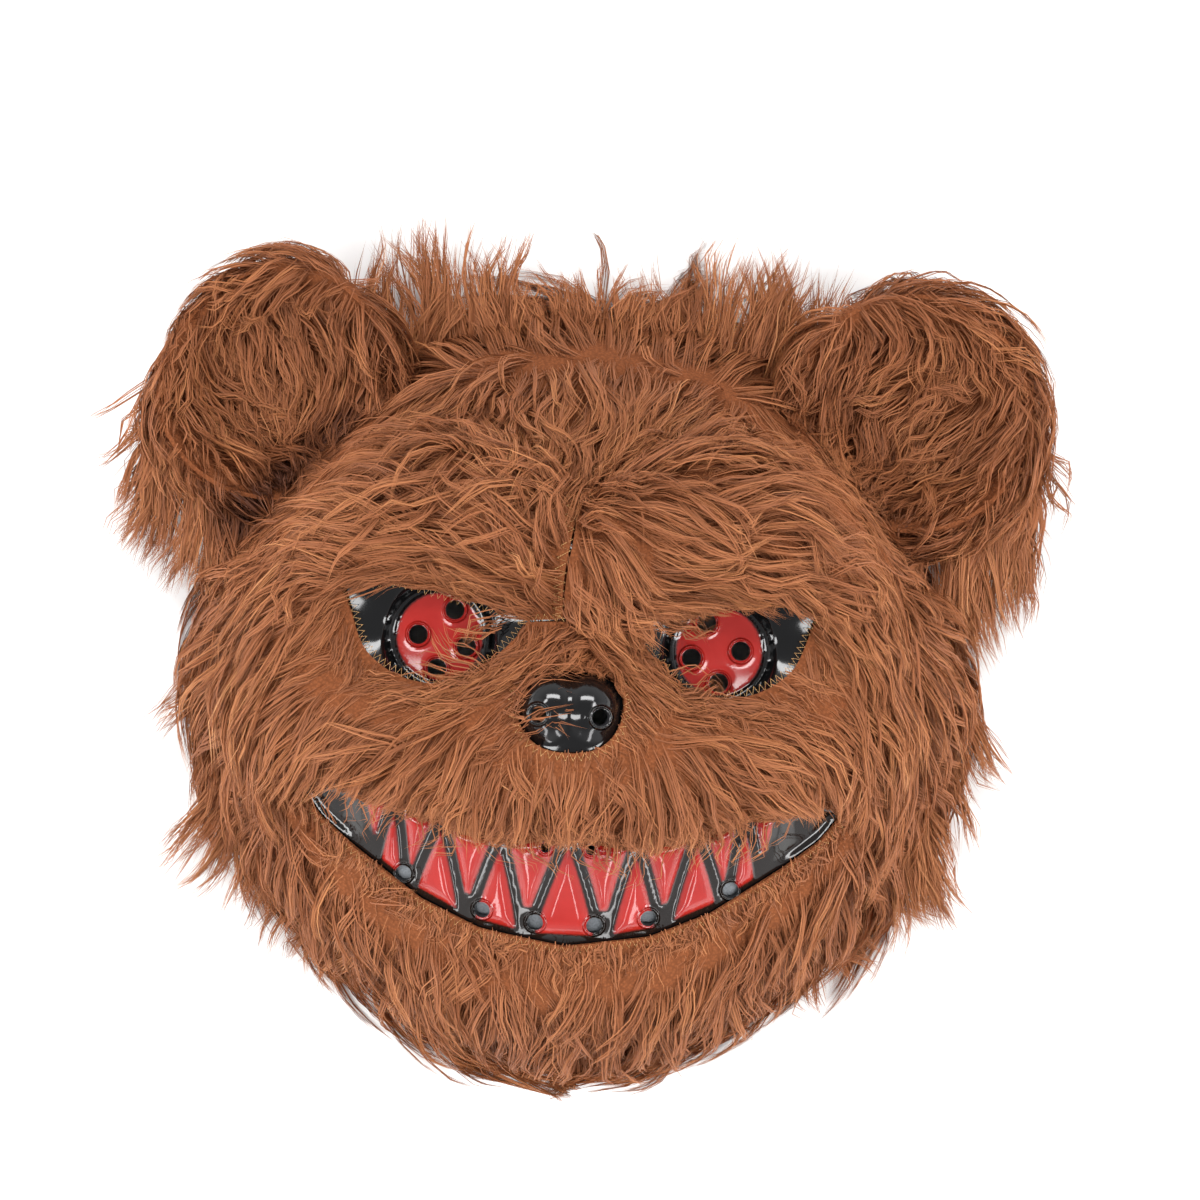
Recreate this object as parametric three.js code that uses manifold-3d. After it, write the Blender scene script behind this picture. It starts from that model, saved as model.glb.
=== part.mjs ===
// A furry bear mask lying on its back, face up, in millimetres.
// +Z comes out of the face, +Y runs to the crown and +X to the viewer's right.
// Sizes are worked out from the middle of the eye line, and the finished mask is
// moved so that its box stands on the origin.
import * as THREE from "three";
import { mergeVertices } from "three/addons/utils/BufferGeometryUtils.js";
import Module from "manifold-3d";

const wasm = await Module();
wasm.setup();

// The moulded plastic face
const FACE_HALF_WIDTH = 106;
const FACE_HALF_HEIGHT = 104;
const FACE_CENTRE_Y = -15;
const FACE_DEPTH = 62;
const FACE_ROUNDNESS = 2.4;
const CHIN_TAPER = 0.2;
const SHELL_WALL = 1;

// The eye discs, which bulge from the face in a low collar
const EYE_SPACING = 0.7642 * FACE_HALF_WIDTH;
const EYE_RADIUS = 13;
const EYE_COLLAR = 1.4;
const EYE_COLLAR_DEPTH = 6;
const EYE_BULGE = 3;
const EYE_TURN = 9;
const EYE_HOLE_RADIUS = 2.8;
const EYE_OPENING_WIDTH = 53;
const EYE_OPENING_HEIGHT = 30;

// The nose, of two bulbs side by side
const NOSE_Y = -19;
const NOSE_OPENING_WIDTH = 29;
const NOSE_OPENING_HEIGHT = 22.5;
const NOSE_BULB_RADIUS = 9.5;
const NOSE_BULB_SPREAD = 11;
const NOSE_BULB_RISE = 4;
const NOSTRIL_RADIUS = 2.7;
const NOSTRIL_SPACING = 14.6;

// The mouth and its teeth
const MOUTH_HALF_WIDTH = 79;
const MOUTH_CORNER_Y = -44.5;
const MOUTH_DROP = 42.5;
const TOOTH_RISE = 2.5;
const TOOTH_GROOVE = 2.6;
const TOOTH_ROOT_GAP = 0.5;
const BREATH_HOLE_RADIUS = 2.35;
const SMALL_HOLE_RADIUS = 1.5;

// The plush cover
const PLUSH_CLEARANCE = 0.4;
const PLUSH_PAD = 10;
const PLUSH_EDGE = 3;
const BROW_PAD = 4;
const BROW_HALF_WIDTH = 88;
const BROW_CREST_Y = 58;
const BROW_LID_Y = 12.5;
const BROW_RIDGE_RISE = 12;
const BROW_RIDGE_WIDTH = 16;
const SIDE_SEAM_DROP = 9;
const SEAM_GAP = 0.6;

// The locks of fur
const LOCK_LENGTH = 30;
const LOCK_HALF_WIDTH = 7;
const LOCK_HALF_HEIGHT = 4;
const LOCK_ROOT_DEPTH = 1.5;
const LOCK_ARCH = 2.2;
const LOCK_DROOP = 3.5;
const LOCK_LIFT = 0.3;
const LOCK_SPACING = 28;
const LOCK_CLEARANCE = 0.35;

// The ears
const EAR_X = 95;
const EAR_Y = 73;
const EAR_RADIUS = 43;
const EAR_THICKNESS = 17;
const EAR_RIM_RISE = 17;
const EAR_LOCKS = 11;
const EAR_LOCK_LENGTH = 22;

// The flat elastic strap and the staples that hold its ends
const STRAP_WIDTH = 8;
const STRAP_THICKNESS = 1;
const STRAP_CLEARANCE = 0.3;
const STRAP_END_HEIGHT = 12;
const STRAP_SEAT_HEIGHT = 7.5;
const STAPLE_WIRE = 0.8;
const STAPLE_WIDTH = 11;

// How finely the curved pieces are faceted
const AROUND = 32;
const RINGS = 8;
const EYE_FACETS = 14;
const HOLE_FACETS = 8;
const EAR_FACETS = 14;
const STRAP_STEPS = 32;
const BEYOND = 200;

// Swells and hollows of the face: their places, spreads and rises as shares of
// its half width, half height and depth, with y counted from the eye line.
const SWELLS = [
  { part: "muzzle", x: 0, y: -0.36, across: 0.42, up: 0.29, rise: 0.29 },
  { part: "nose", x: 0, y: -0.18, across: 0.14, up: 0.12, rise: 0.1 },
  { part: "cheek", x: 0.62, y: -0.37, across: 0.25, up: 0.29, rise: 0.11 },
  { part: "eye socket", x: 0.38, y: 0, across: 0.23, up: 0.14, rise: -0.15 },
  { part: "chin", x: 0, y: -0.96, across: 0.32, up: 0.17, rise: 0.08 },
  { part: "forehead", x: 0, y: 0.77, across: 0.5, up: 0.2, rise: -0.1 },
];

// The brow's crest, as shares of its half width and of the crest's height
const CREST = [
  { across: 0, up: 0.69 },
  { across: 0.24, up: 0.86 },
  { across: 0.49, up: 1 },
  { across: 0.78, up: 0.86 },
  { across: 1, up: 0.4 },
];

// The brow's lower edge, as shares of its half width and of the lid's height
const LID = [
  { across: 0, up: 0.6 },
  { across: 0.17, up: 0.48 },
  { across: 0.78, up: 1 },
  { across: 1, up: 1.75 },
];

// The eye opening, as shares of half its width and height, from the eye's middle
const EYE_OPENING = [
  { out: -0.96, up: 0.41 },
  { out: -0.33, up: 0.65 },
  { out: 0.17, up: 0.84 },
  { out: 0.5, up: 1.05 },
  { out: 1.03, up: 0.85 },
  { out: 0.97, up: 0.4 },
  { out: 0.78, up: -0.37 },
  { out: 0.32, up: -0.87 },
  { out: -0.34, up: -0.85 },
  { out: -0.68, up: -0.3 },
];

// The holes in an eye disc, as shares of its radius, outward and up
const EYE_HOLES = [
  { out: 0.48, up: 0.03 },
  { out: -0.32, up: 0.62 },
  { out: -0.62, up: -0.18 },
  { out: 0.02, up: -0.7 },
];

// The nose opening, as shares of half its width and height
const NOSE_OPENING = [
  { out: 0, up: 1 },
  { out: 0.65, up: 0.93 },
  { out: 1, up: 0.4 },
  { out: 0.8, up: -0.4 },
  { out: 0, up: -1 },
];

// The lips, as shares of the mouth's half width and of its drop from the corner
const UPPER_LIP = [
  { across: 0, down: 0.23 },
  { across: 0.21, down: 0.29 },
  { across: 0.38, down: 0.25 },
  { across: 0.6, down: 0.1 },
  { across: 0.88, down: -0.04 },
  { across: 1, down: 0 },
];
const LOWER_LIP = [
  { across: 0, down: 1 },
  { across: 0.31, down: 0.91 },
  { across: 0.53, down: 0.73 },
  { across: 0.78, down: 0.4 },
  { across: 0.91, down: 0.21 },
  { across: 1, down: 0 },
];

// Tips of the teeth from the middle outward, as shares of the mouth's half width:
// a lower tooth points up, and between two of them an upper tooth points down.
const TOOTH_TIPS = [0, 0.143, 0.246, 0.362, 0.463, 0.578, 0.637, 0.713, 0.78];

// Breathing holes, as shares of the mouth's half width and drop
const BREATH_HOLES = [
  { across: 0.108, down: 0.85, radius: BREATH_HOLE_RADIUS },
  { across: 0.304, down: 0.785, radius: BREATH_HOLE_RADIUS },
  { across: 0.6, down: 0.57, radius: BREATH_HOLE_RADIUS },
  { across: 0.081, down: 0.315, radius: SMALL_HOLE_RADIUS },
];

// An ear's half section from its middle out and back, as shares of its radius
// and of its thickness or, for the front, of its rim's rise above that.
const EAR_SECTION = [
  { out: 0, thick: 0, rim: 0 },
  { out: 0.72, thick: 0, rim: 0 },
  { out: 0.93, thick: 0.35, rim: 0 },
  { out: 1, thick: 0.95, rim: 0.1 },
  { out: 0.97, thick: 1, rim: 0.6 },
  { out: 0.84, thick: 1, rim: 1 },
  { out: 0.68, thick: 1, rim: 0.85 },
  { out: 0.42, thick: 1, rim: 0.2 },
  { out: 0, thick: 1, rim: 0 },
];

// The strap's route over the surface, from the right wall to the middle, in shares of the face's size
const STRAP_ROUTE = [
  { across: 0.915, up: 0.106 },
  { across: 0.774, up: 0.212 },
  { across: 0.585, up: 0.356 },
  { across: 0.321, up: 0.49 },
  { across: 0, up: 0.538 },
];

// A closed geometry as a solid that can be cut and joined
function solid(geometry) {
  geometry.deleteAttribute("normal");
  geometry.deleteAttribute("uv");
  const merged = mergeVertices(geometry, 1e-4);
  return new wasm.Manifold(
    new wasm.Mesh({
      numProp: 3,
      vertProperties: new Float32Array(merged.attributes.position.array),
      triVerts: new Uint32Array(merged.index.array),
    }),
  );
}

function joined(solids) {
  return solids.reduce((all, one) => all.add(one));
}

// A value between the rows of a table, for a place between their first values
function between(rows, place, key, value) {
  const last = rows.length - 1;
  let row = 1;
  while (row < last && place > rows[row][key]) row += 1;
  const from = rows[row - 1];
  const to = rows[row];
  const share = THREE.MathUtils.clamp((place - from[key]) / (to[key] - from[key]), 0, 1);
  return THREE.MathUtils.lerp(from[value], to[value], share);
}

function crestY(x) {
  return BROW_CREST_Y * between(CREST, Math.abs(x) / BROW_HALF_WIDTH, "across", "up");
}

function lidY(x) {
  return BROW_LID_Y * between(LID, Math.abs(x) / BROW_HALF_WIDTH, "across", "up");
}

function lipY(lip, x) {
  return MOUTH_CORNER_Y - MOUTH_DROP * between(lip, Math.abs(x) / MOUTH_HALF_WIDTH, "across", "down");
}

// The head's form: a rounded dome over the rim with the swells and the brow on it
function swell(x, y) {
  let rise = 0;
  for (const form of SWELLS) {
    const away = (Math.abs(x) - form.x * FACE_HALF_WIDTH) / (form.across * FACE_HALF_WIDTH);
    const up = (y - form.y * FACE_HALF_HEIGHT) / (form.up * FACE_HALF_HEIGHT);
    rise += form.rise * FACE_DEPTH * Math.exp(-away * away - up * up);
  }
  const fromRidge = (y - crestY(x) + BROW_RIDGE_WIDTH) / BROW_RIDGE_WIDTH;
  const fade = 1 - THREE.MathUtils.smoothstep(Math.abs(x), 0.75 * BROW_HALF_WIDTH, 1.15 * BROW_HALF_WIDTH);
  return rise + BROW_RIDGE_RISE * fade * Math.exp(-fromRidge * fromRidge);
}

// The middle of the face in shares of its size: 0 at its middle and 1 at its rim
function shareOf(x, y) {
  const up = (y - FACE_CENTRE_Y) / FACE_HALF_HEIGHT;
  const width = FACE_HALF_WIDTH * (1 - CHIN_TAPER * Math.min(0, up) ** 2);
  return { across: x / width, up, radius: Math.hypot(x / width, up) };
}

function faceHeight(x, y) {
  const radius = Math.min(1, shareOf(x, y).radius);
  const dome = FACE_DEPTH * (1 - radius ** FACE_ROUNDNESS) ** (1 / FACE_ROUNDNESS);
  return dome + swell(x, y) * (1 - radius ** 6);
}

// The dome's own normal, by which walls are thickened
function faceNormal(x, y) {
  const { across, up, radius } = shareOf(x, y);
  const steep = Math.max(radius, 1e-6) ** (FACE_ROUNDNESS - 2);
  const left = Math.max(0, 1 - radius ** FACE_ROUNDNESS);
  return new THREE.Vector3(
    (across * steep) / FACE_HALF_WIDTH,
    (up * steep) / FACE_HALF_HEIGHT,
    left ** ((FACE_ROUNDNESS - 1) / FACE_ROUNDNESS) / FACE_DEPTH,
  ).normalize();
}

// A point of the head by its turn about the middle and its way out to the rim
function facePlace(turn, wayOut) {
  const lean = (Math.PI / 2) * wayOut ** 1.5;
  const radius = Math.sin(lean) ** (2 / FACE_ROUNDNESS);
  const up = radius * Math.sin(turn);
  const width = FACE_HALF_WIDTH * (1 - CHIN_TAPER * Math.min(0, up) ** 2);
  return { x: width * radius * Math.cos(turn), y: FACE_CENTRE_Y + FACE_HALF_HEIGHT * up };
}

function facePoint(x, y, offset) {
  return new THREE.Vector3(x, y, faceHeight(x, y)).addScaledVector(faceNormal(x, y), offset);
}

// A filled head whose surface lies an offset outside the face, run on below its rim
function filledHead(offsetAt) {
  const geometry = new THREE.SphereGeometry(1, AROUND, RINGS + 2);
  const position = geometry.attributes.position;
  for (let ring = 0; ring <= RINGS + 2; ring += 1) {
    for (let step = 0; step <= AROUND; step += 1) {
      const wayOut = Math.min(1, ring / RINGS);
      const { x, y } = facePlace((step / AROUND) * 2 * Math.PI, wayOut);
      const point = facePoint(x, y, offsetAt(x, y));
      if (ring >= RINGS) point.z = 0;
      if (ring > RINGS) point.z = -BEYOND / 4;
      if (ring > RINGS + 1) point.set(0, FACE_CENTRE_Y, -BEYOND / 4);
      position.setXYZ(ring * (AROUND + 1) + step, point.x, point.y, point.z);
    }
  }
  return solid(geometry);
}

// A straight column over an outline, tall enough to cut anything
function column(shape) {
  const geometry = new THREE.ExtrudeGeometry(shape, {
    depth: 2 * BEYOND,
    bevelEnabled: false,
    curveSegments: 5,
  });
  geometry.translate(0, 0, -BEYOND);
  return solid(geometry);
}

function polygon(points) {
  return new THREE.Shape(points.map(({ x, y }) => new THREE.Vector2(x, y)));
}

function smoothOutline(points) {
  const curve = new THREE.CatmullRomCurve3(
    points.map(({ x, y }) => new THREE.Vector3(x, y, 0)),
    true,
    "centripetal",
  );
  return polygon(curve.getPoints(points.length * 2).slice(0, -1));
}

// Openings of the plush cover
function eyeOpening(side) {
  return smoothOutline(
    EYE_OPENING.map(({ out, up }) => ({
      x: side * (EYE_SPACING / 2 + (out * EYE_OPENING_WIDTH) / 2),
      y: (up * EYE_OPENING_HEIGHT) / 2,
    })),
  );
}

function noseOpening() {
  const right = NOSE_OPENING.map(({ out, up }) => ({
    x: (out * NOSE_OPENING_WIDTH) / 2,
    y: NOSE_Y + (up * NOSE_OPENING_HEIGHT) / 2,
  }));
  const left = right.slice(1, -1).reverse();
  return smoothOutline([...right, ...left.map(({ x, y }) => ({ x: -x, y }))]);
}

// The mouth between the lips, each moved by a margin away from its middle
function mouthOutline(margin) {
  const points = [];
  const steps = 14;
  const reach = MOUTH_HALF_WIDTH + margin;
  for (let step = 0; step < steps; step += 1) {
    const x = reach * Math.cos((step / steps) * Math.PI);
    points.push({ x, y: lipY(UPPER_LIP, x) + (step > 0 ? margin : 0) });
  }
  for (let step = steps; step < 2 * steps; step += 1) {
    const x = reach * Math.cos((step / steps) * Math.PI);
    points.push({ x, y: lipY(LOWER_LIP, x) - (step > steps ? margin : 0) });
  }
  return polygon(points);
}

// How thick the plush is at a place: thin at an opening's edge, fat on the brow
function plushThickness(x, y) {
  const eye = Math.hypot(
    (Math.abs(x) - EYE_SPACING / 2) / (EYE_OPENING_WIDTH / 2),
    y / (EYE_OPENING_HEIGHT / 2),
  );
  const nose = Math.hypot(x / (NOSE_OPENING_WIDTH / 2), (y - NOSE_Y) / (NOSE_OPENING_HEIGHT / 2));
  const middle = (lipY(UPPER_LIP, x) + lipY(LOWER_LIP, x)) / 2;
  const gape = (lipY(UPPER_LIP, x) - lipY(LOWER_LIP, x)) / 2 + PLUSH_PAD / 2;
  const mouth = Math.max(Math.abs(x) / MOUTH_HALF_WIDTH, Math.abs(y - middle) / gape);
  const full =
    THREE.MathUtils.smoothstep(eye, 1, 1.8) *
    THREE.MathUtils.smoothstep(nose, 1, 2) *
    THREE.MathUtils.smoothstep(mouth, 0.9, 1.6);
  const overBrow = THREE.MathUtils.smoothstep(y, lidY(x), crestY(x)) * (y < crestY(x) ? 1 : 0);
  const inBrow = Math.abs(x) < BROW_HALF_WIDTH ? BROW_PAD * overBrow : 0;
  return PLUSH_EDGE + (PLUSH_PAD - PLUSH_EDGE) * full + inBrow;
}

// A lathe-turned piece set on an axis that leaves a point along a direction
function turned(profile, facets, place, direction) {
  const points = profile.map(([radius, height]) => new THREE.Vector2(radius, height));
  const geometry = new THREE.LatheGeometry(points, facets);
  const turn = new THREE.Quaternion().setFromUnitVectors(new THREE.Vector3(0, 1, 0), direction);
  geometry.applyQuaternion(turn);
  geometry.translate(place.x, place.y, place.z);
  return solid(geometry);
}

// A drill that runs both ways from a place
function drill(radius, facets, place, direction) {
  const reach = BEYOND / 10;
  const profile = [
    [0, -reach],
    [radius, -reach],
    [radius, reach],
    [0, reach],
  ];
  return turned(profile, facets, place, direction);
}

function eyeFrame(side) {
  const turn = THREE.MathUtils.degToRad(EYE_TURN) * side;
  const direction = new THREE.Vector3(Math.sin(turn), 0, Math.cos(turn));
  const x = (side * EYE_SPACING) / 2;
  const place = new THREE.Vector3(x, 0, faceHeight(x, 0));
  const across = new THREE.Vector3(Math.cos(turn), 0, -Math.sin(turn));
  return { place, direction, across };
}

function eyeDisc(side, grow) {
  const { place, direction } = eyeFrame(side);
  const collar = EYE_RADIUS + EYE_COLLAR + grow;
  const inside = EYE_RADIUS - SHELL_WALL / 2;
  const lip = EYE_COLLAR + grow;
  const profile = [
    [0, EYE_BULGE - SHELL_WALL],
    [inside, -SHELL_WALL],
    [inside, -EYE_COLLAR_DEPTH],
    [collar, -EYE_COLLAR_DEPTH],
    [collar, lip / 2],
    [EYE_RADIUS, lip / 2],
    [EYE_RADIUS, grow],
    [0.6 * EYE_RADIUS, 0.65 * EYE_BULGE + grow],
    [0, EYE_BULGE + grow],
  ];
  return turned(profile, EYE_FACETS, place, direction);
}

function eyeHoles(side) {
  const { place, direction, across } = eyeFrame(side);
  return EYE_HOLES.map(({ out, up }) => {
    const dome = EYE_BULGE * (1 - out * out - up * up);
    return {
      direction,
      place: place
        .clone()
        .addScaledVector(across, side * out * EYE_RADIUS)
        .addScaledVector(direction, dome)
        .add(new THREE.Vector3(0, up * EYE_RADIUS, 0)),
    };
  });
}

function noseBulbs(grow) {
  const height = faceHeight(0, NOSE_Y);
  const bulbs = [-1, 1].map((side) => {
    const geometry = new THREE.SphereGeometry(NOSE_BULB_RADIUS + grow, 11, 6);
    geometry.scale(1, 1.05, 1);
    geometry.translate(
      (side * NOSE_BULB_SPREAD) / 2,
      NOSE_Y,
      height + NOSE_BULB_RISE - NOSE_BULB_RADIUS,
    );
    return solid(geometry);
  });
  return joined(bulbs);
}

// The teeth stand on the face between the lips, with a groove between two teeth
function toothOutline(index) {
  const pointsUp = index % 2 === 0;
  const tipLip = pointsUp ? UPPER_LIP : LOWER_LIP;
  const rootLip = pointsUp ? LOWER_LIP : UPPER_LIP;
  const way = pointsUp ? 1 : -1;
  const tipAt = (at) => Math.sign(at) * TOOTH_TIPS[Math.abs(at)] * MOUTH_HALF_WIDTH;
  const [before, tip, after] = [tipAt(index - 1), tipAt(index), tipAt(index + 1)];
  const half = TOOTH_GROOVE / 2;
  const rootAt = (x) => lipY(rootLip, x) + way * TOOTH_ROOT_GAP;
  const tipY = lipY(tipLip, tip) - way * half;
  return polygon([
    { x: before + half, y: rootAt(before + half) },
    { x: after - half, y: rootAt(after - half) },
    { x: tip + half / 2, y: tipY },
    { x: tip - half / 2, y: tipY },
  ]);
}

function teeth(grow) {
  const last = TOOTH_TIPS.length - 2;
  const columns = [];
  for (let index = -last; index <= last; index += 1) columns.push(column(toothOutline(index)));
  return joined(columns)
    .intersect(filledHead(() => TOOTH_RISE + grow))
    .subtract(filledHead(() => -SHELL_WALL / 2));
}

function breathHoles() {
  return BREATH_HOLES.flatMap(({ across, down, radius }) =>
    [-1, 1].map((side) => {
      const x = side * across * MOUTH_HALF_WIDTH;
      const y = MOUTH_CORNER_Y - down * MOUTH_DROP;
      return drill(radius, HOLE_FACETS, facePoint(x, y, 0), faceNormal(x, y));
    }),
  );
}

function nostrils() {
  return [-1, 1].map((side) => {
    const place = new THREE.Vector3((side * NOSTRIL_SPACING) / 2, NOSE_Y, faceHeight(0, NOSE_Y));
    const direction = new THREE.Vector3(side * 0.35, -0.15, 1).normalize();
    return drill(NOSTRIL_RADIUS, HOLE_FACETS, place, direction);
  });
}

// The flat facet of the inner wall that a strap end lies on
function strapSeat(side) {
  const step = (2 * Math.PI) / AROUND;
  const turn = side > 0 ? step / 2 : Math.PI - step / 2;
  const corner = (at, wayOut) => {
    const { x, y } = facePlace(at, wayOut);
    const point = facePoint(x, y, -SHELL_WALL);
    if (wayOut === 1) point.z = 0;
    return point;
  };
  const low = corner(turn - step / 2, 1).add(corner(turn + step / 2, 1)).divideScalar(2);
  const inner = 1 - 1 / RINGS;
  const high = corner(turn - step / 2, inner).add(corner(turn + step / 2, inner)).divideScalar(2);
  const along = corner(turn + step / 2, 1).sub(corner(turn - step / 2, 1)).normalize();
  const up = high.clone().sub(low);
  up.addScaledVector(along, -up.dot(along)).normalize();
  const inward = up.clone().cross(along).normalize();
  return { place: low, along, up, inward };
}

// A point over the seat: up the wall, along it and in from it
function seatPoint({ place, along, up, inward }, { high = 0, sideways = 0, away = 0 }) {
  return place
    .clone()
    .addScaledVector(up, high)
    .addScaledVector(along, sideways)
    .addScaledVector(inward, away);
}

// A straight bar about a point of the seat
function seatBar(seat, centre, size) {
  const geometry = new THREE.BoxGeometry(size.sideways, size.high, size.away);
  const basis = new THREE.Matrix4().makeBasis(seat.along, seat.up, seat.along.clone().cross(seat.up));
  geometry.applyMatrix4(basis);
  const place = seatPoint(seat, centre);
  geometry.translate(place.x, place.y, place.z);
  return solid(geometry);
}

function stapleBars(side, grow) {
  const seat = strapSeat(side);
  const crownAway = 2 * STRAP_CLEARANCE + STRAP_THICKNESS + STAPLE_WIRE / 2;
  const legLength = crownAway + STAPLE_WIRE / 2 + 0.7 * SHELL_WALL + 2 * grow;
  const legAway = crownAway + STAPLE_WIRE / 2 - legLength / 2;
  const wire = STAPLE_WIRE + 2 * grow;
  const crown = seatBar(
    seat,
    { high: STRAP_SEAT_HEIGHT, away: crownAway },
    { sideways: STAPLE_WIDTH, high: wire, away: wire },
  );
  const legs = [-1, 1].map((end) =>
    seatBar(
      seat,
      { high: STRAP_SEAT_HEIGHT, sideways: (end * (STAPLE_WIDTH - STAPLE_WIRE)) / 2, away: legAway },
      { sideways: wire, high: wire, away: legLength },
    ),
  );
  return joined([crown, ...legs]);
}

// The plastic face: a thin dome with eye discs, nose and teeth standing on it
function faceShell() {
  const drills = [-1, 1].map((side) => {
    const { place, direction } = eyeFrame(side);
    return drill(EYE_RADIUS - SHELL_WALL / 4, EYE_FACETS, place, direction);
  });
  const holes = [-1, 1].flatMap((side) => eyeHoles(side));
  const wall = filledHead(() => 0).subtract(filledHead(() => -SHELL_WALL));
  const openWall = wall.subtract(joined(drills)).subtract(floorBox());
  const face = joined([openWall, eyeDisc(-1, 0), eyeDisc(1, 0), teeth(0), noseBulbs(0)]);
  const holed = face
    .subtract(noseBulbs(-SHELL_WALL))
    .subtract(joined(holes.map((hole) => drill(EYE_HOLE_RADIUS, HOLE_FACETS, hole.place, hole.direction))))
    .subtract(joined(breathHoles()))
    .subtract(joined(nostrils()));
  return holed.subtract(stapleBars(-1, STRAP_CLEARANCE)).subtract(stapleBars(1, STRAP_CLEARANCE));
}

// All that the plush keeps clear of: the filled face with what stands on it
function faceKeepOut() {
  return joined([
    filledHead(() => PLUSH_CLEARANCE),
    teeth(PLUSH_CLEARANCE),
    eyeDisc(-1, PLUSH_CLEARANCE),
    eyeDisc(1, PLUSH_CLEARANCE),
    noseBulbs(PLUSH_CLEARANCE),
  ]);
}

function floorBox() {
  const geometry = new THREE.BoxGeometry(2 * BEYOND, 2 * BEYOND, BEYOND);
  geometry.translate(0, 0, -BEYOND / 2);
  return solid(geometry);
}

// A steady value from 0 to 1 that differs from one number to the next
function scatter(number) {
  const value = Math.sin(number * 12.9898 + 4.1) * 43758.5453;
  return value - Math.floor(value);
}

// The way that the fur lies at a place, seen from the front
function furDirection(x, y) {
  const side = x < 0 ? -1 : 1;
  const out = Math.abs(x) / FACE_HALF_WIDTH;
  if (Math.abs(x) < BROW_HALF_WIDTH && y > lidY(x) && y < crestY(x)) {
    return new THREE.Vector2(side, -0.25 - 0.6 * out).normalize();
  }
  if (y > crestY(x)) return new THREE.Vector2(side * (0.15 + 0.8 * out), -1).normalize();
  const sweep = THREE.MathUtils.smoothstep(y, 0.75 * MOUTH_CORNER_Y - MOUTH_DROP, 0);
  return new THREE.Vector2(side * out * (0.7 + 2 * sweep), -1).normalize();
}

// One lock of fur: a three-sided spindle that leaves a root and bends over
function lock({ root, direction, up, length, number }, grow) {
  const side = direction.clone().cross(up).normalize();
  const geometry = new THREE.SphereGeometry(1, 3, 4);
  const position = geometry.attributes.position;
  const sway = (scatter(number + 0.3) - 0.5) * 0.3 * length;
  for (let index = 0; index < position.count; index += 1) {
    const pole = position.getY(index);
    const along = (1 + pole) / 2 + (Math.abs(pole) > 0.99 ? (3 * grow * pole) / length : 0);
    const taper = 1.3 - 0.8 * along;
    const arch = LOCK_ARCH * Math.sin(Math.PI * along) - LOCK_DROOP * along * along;
    const across = position.getZ(index) * (LOCK_HALF_WIDTH * taper + 2 * grow) + sway * along * along;
    const over = -position.getX(index) * (LOCK_HALF_HEIGHT * taper + 2 * grow) + arch;
    const point = root
      .clone()
      .addScaledVector(direction, along * length)
      .addScaledVector(side, across)
      .addScaledVector(up, over);
    position.setXYZ(index, point.x, point.y, point.z);
  }
  return solid(geometry);
}

// A lock's start on the plush at a place of the head
function lockAt(x, y, number) {
  const plushTop = (alongX, alongY) => facePoint(alongX, alongY, plushThickness(alongX, alongY));
  const flow = furDirection(x, y).multiplyScalar(LOCK_HALF_HEIGHT);
  const root = plushTop(x, y);
  const direction = plushTop(x + flow.x, y + flow.y).sub(root).normalize();
  const out = faceNormal(x, y);
  const lift = LOCK_LIFT * THREE.MathUtils.smoothstep(shareOf(x, y).radius, 0.8, 1);
  direction.addScaledVector(out, lift).normalize();
  const up = out.addScaledVector(direction, -out.dot(direction)).normalize();
  root.addScaledVector(up, -LOCK_ROOT_DEPTH);
  const length = LOCK_LENGTH * (0.8 + 0.4 * scatter(number));
  return { x, y, root, direction, up, length, number };
}

// Locks in rings about the head, none of them rooted in an opening
function headLocks() {
  const locks = [];
  let number = 0;
  for (const wayOut of [0.3, 0.45, 0.59, 0.71, 0.83, 0.95]) {
    const radius = FACE_HALF_WIDTH * Math.sin((Math.PI / 2) * wayOut ** 1.5) ** (2 / FACE_ROUNDNESS);
    const count = 2 * Math.round((Math.PI * radius) / LOCK_SPACING);
    for (let step = 0; step < count; step += 1) {
      number += 1;
      const turn = ((step + 0.5 + 0.5 * (scatter(number) - 0.5)) / count) * 2 * Math.PI + Math.PI / 2;
      const { x, y } = facePlace(turn, wayOut);
      if (!nearOpening(x, y)) locks.push(lockAt(x, y, number));
    }
  }
  return locks;
}

function nearOpening(x, y) {
  return plushThickness(x, y) < 0.75 * PLUSH_PAD;
}

// The seams that part brow, crown and face, each followed from left to right
function seamLine(edgeY, margin) {
  const points = [];
  const steps = 16;
  const drop = SIDE_SEAM_DROP;
  points.push({ x: -BEYOND, y: lidY(BROW_HALF_WIDTH) - drop + margin });
  for (let step = 0; step <= steps; step += 1) {
    const x = (2 * (step / steps) - 1) * BROW_HALF_WIDTH;
    points.push({ x, y: edgeY(x) + margin });
  }
  points.push({ x: BEYOND, y: lidY(BROW_HALF_WIDTH) - drop + margin });
  return points;
}

function crownRegion() {
  return polygon([...seamLine(crestY, SEAM_GAP / 2), { x: BEYOND, y: BEYOND }, { x: -BEYOND, y: BEYOND }]);
}

function faceRegion() {
  const seam = seamLine(lidY, -SEAM_GAP / 2);
  return polygon([{ x: -BEYOND, y: -BEYOND }, { x: BEYOND, y: -BEYOND }, ...seam.reverse()]);
}

function browRegion(side) {
  const steps = 8;
  const lower = [];
  const upper = [];
  for (let step = 0; step <= steps; step += 1) {
    const x = SEAM_GAP / 2 + (step / steps) * (BROW_HALF_WIDTH - SEAM_GAP);
    lower.push({ x: side * x, y: lidY(x) + SEAM_GAP / 2 });
    upper.push({ x: side * x, y: crestY(x) - SEAM_GAP / 2 });
  }
  return polygon([...lower, ...upper.reverse()]);
}

// The biggest body of a solid, without the crumbs that a cut leaves
function biggest(body) {
  const bodies = body.decompose();
  return bodies.reduce((best, one) => (one.volume() > best.volume() ? one : best));
}

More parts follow.
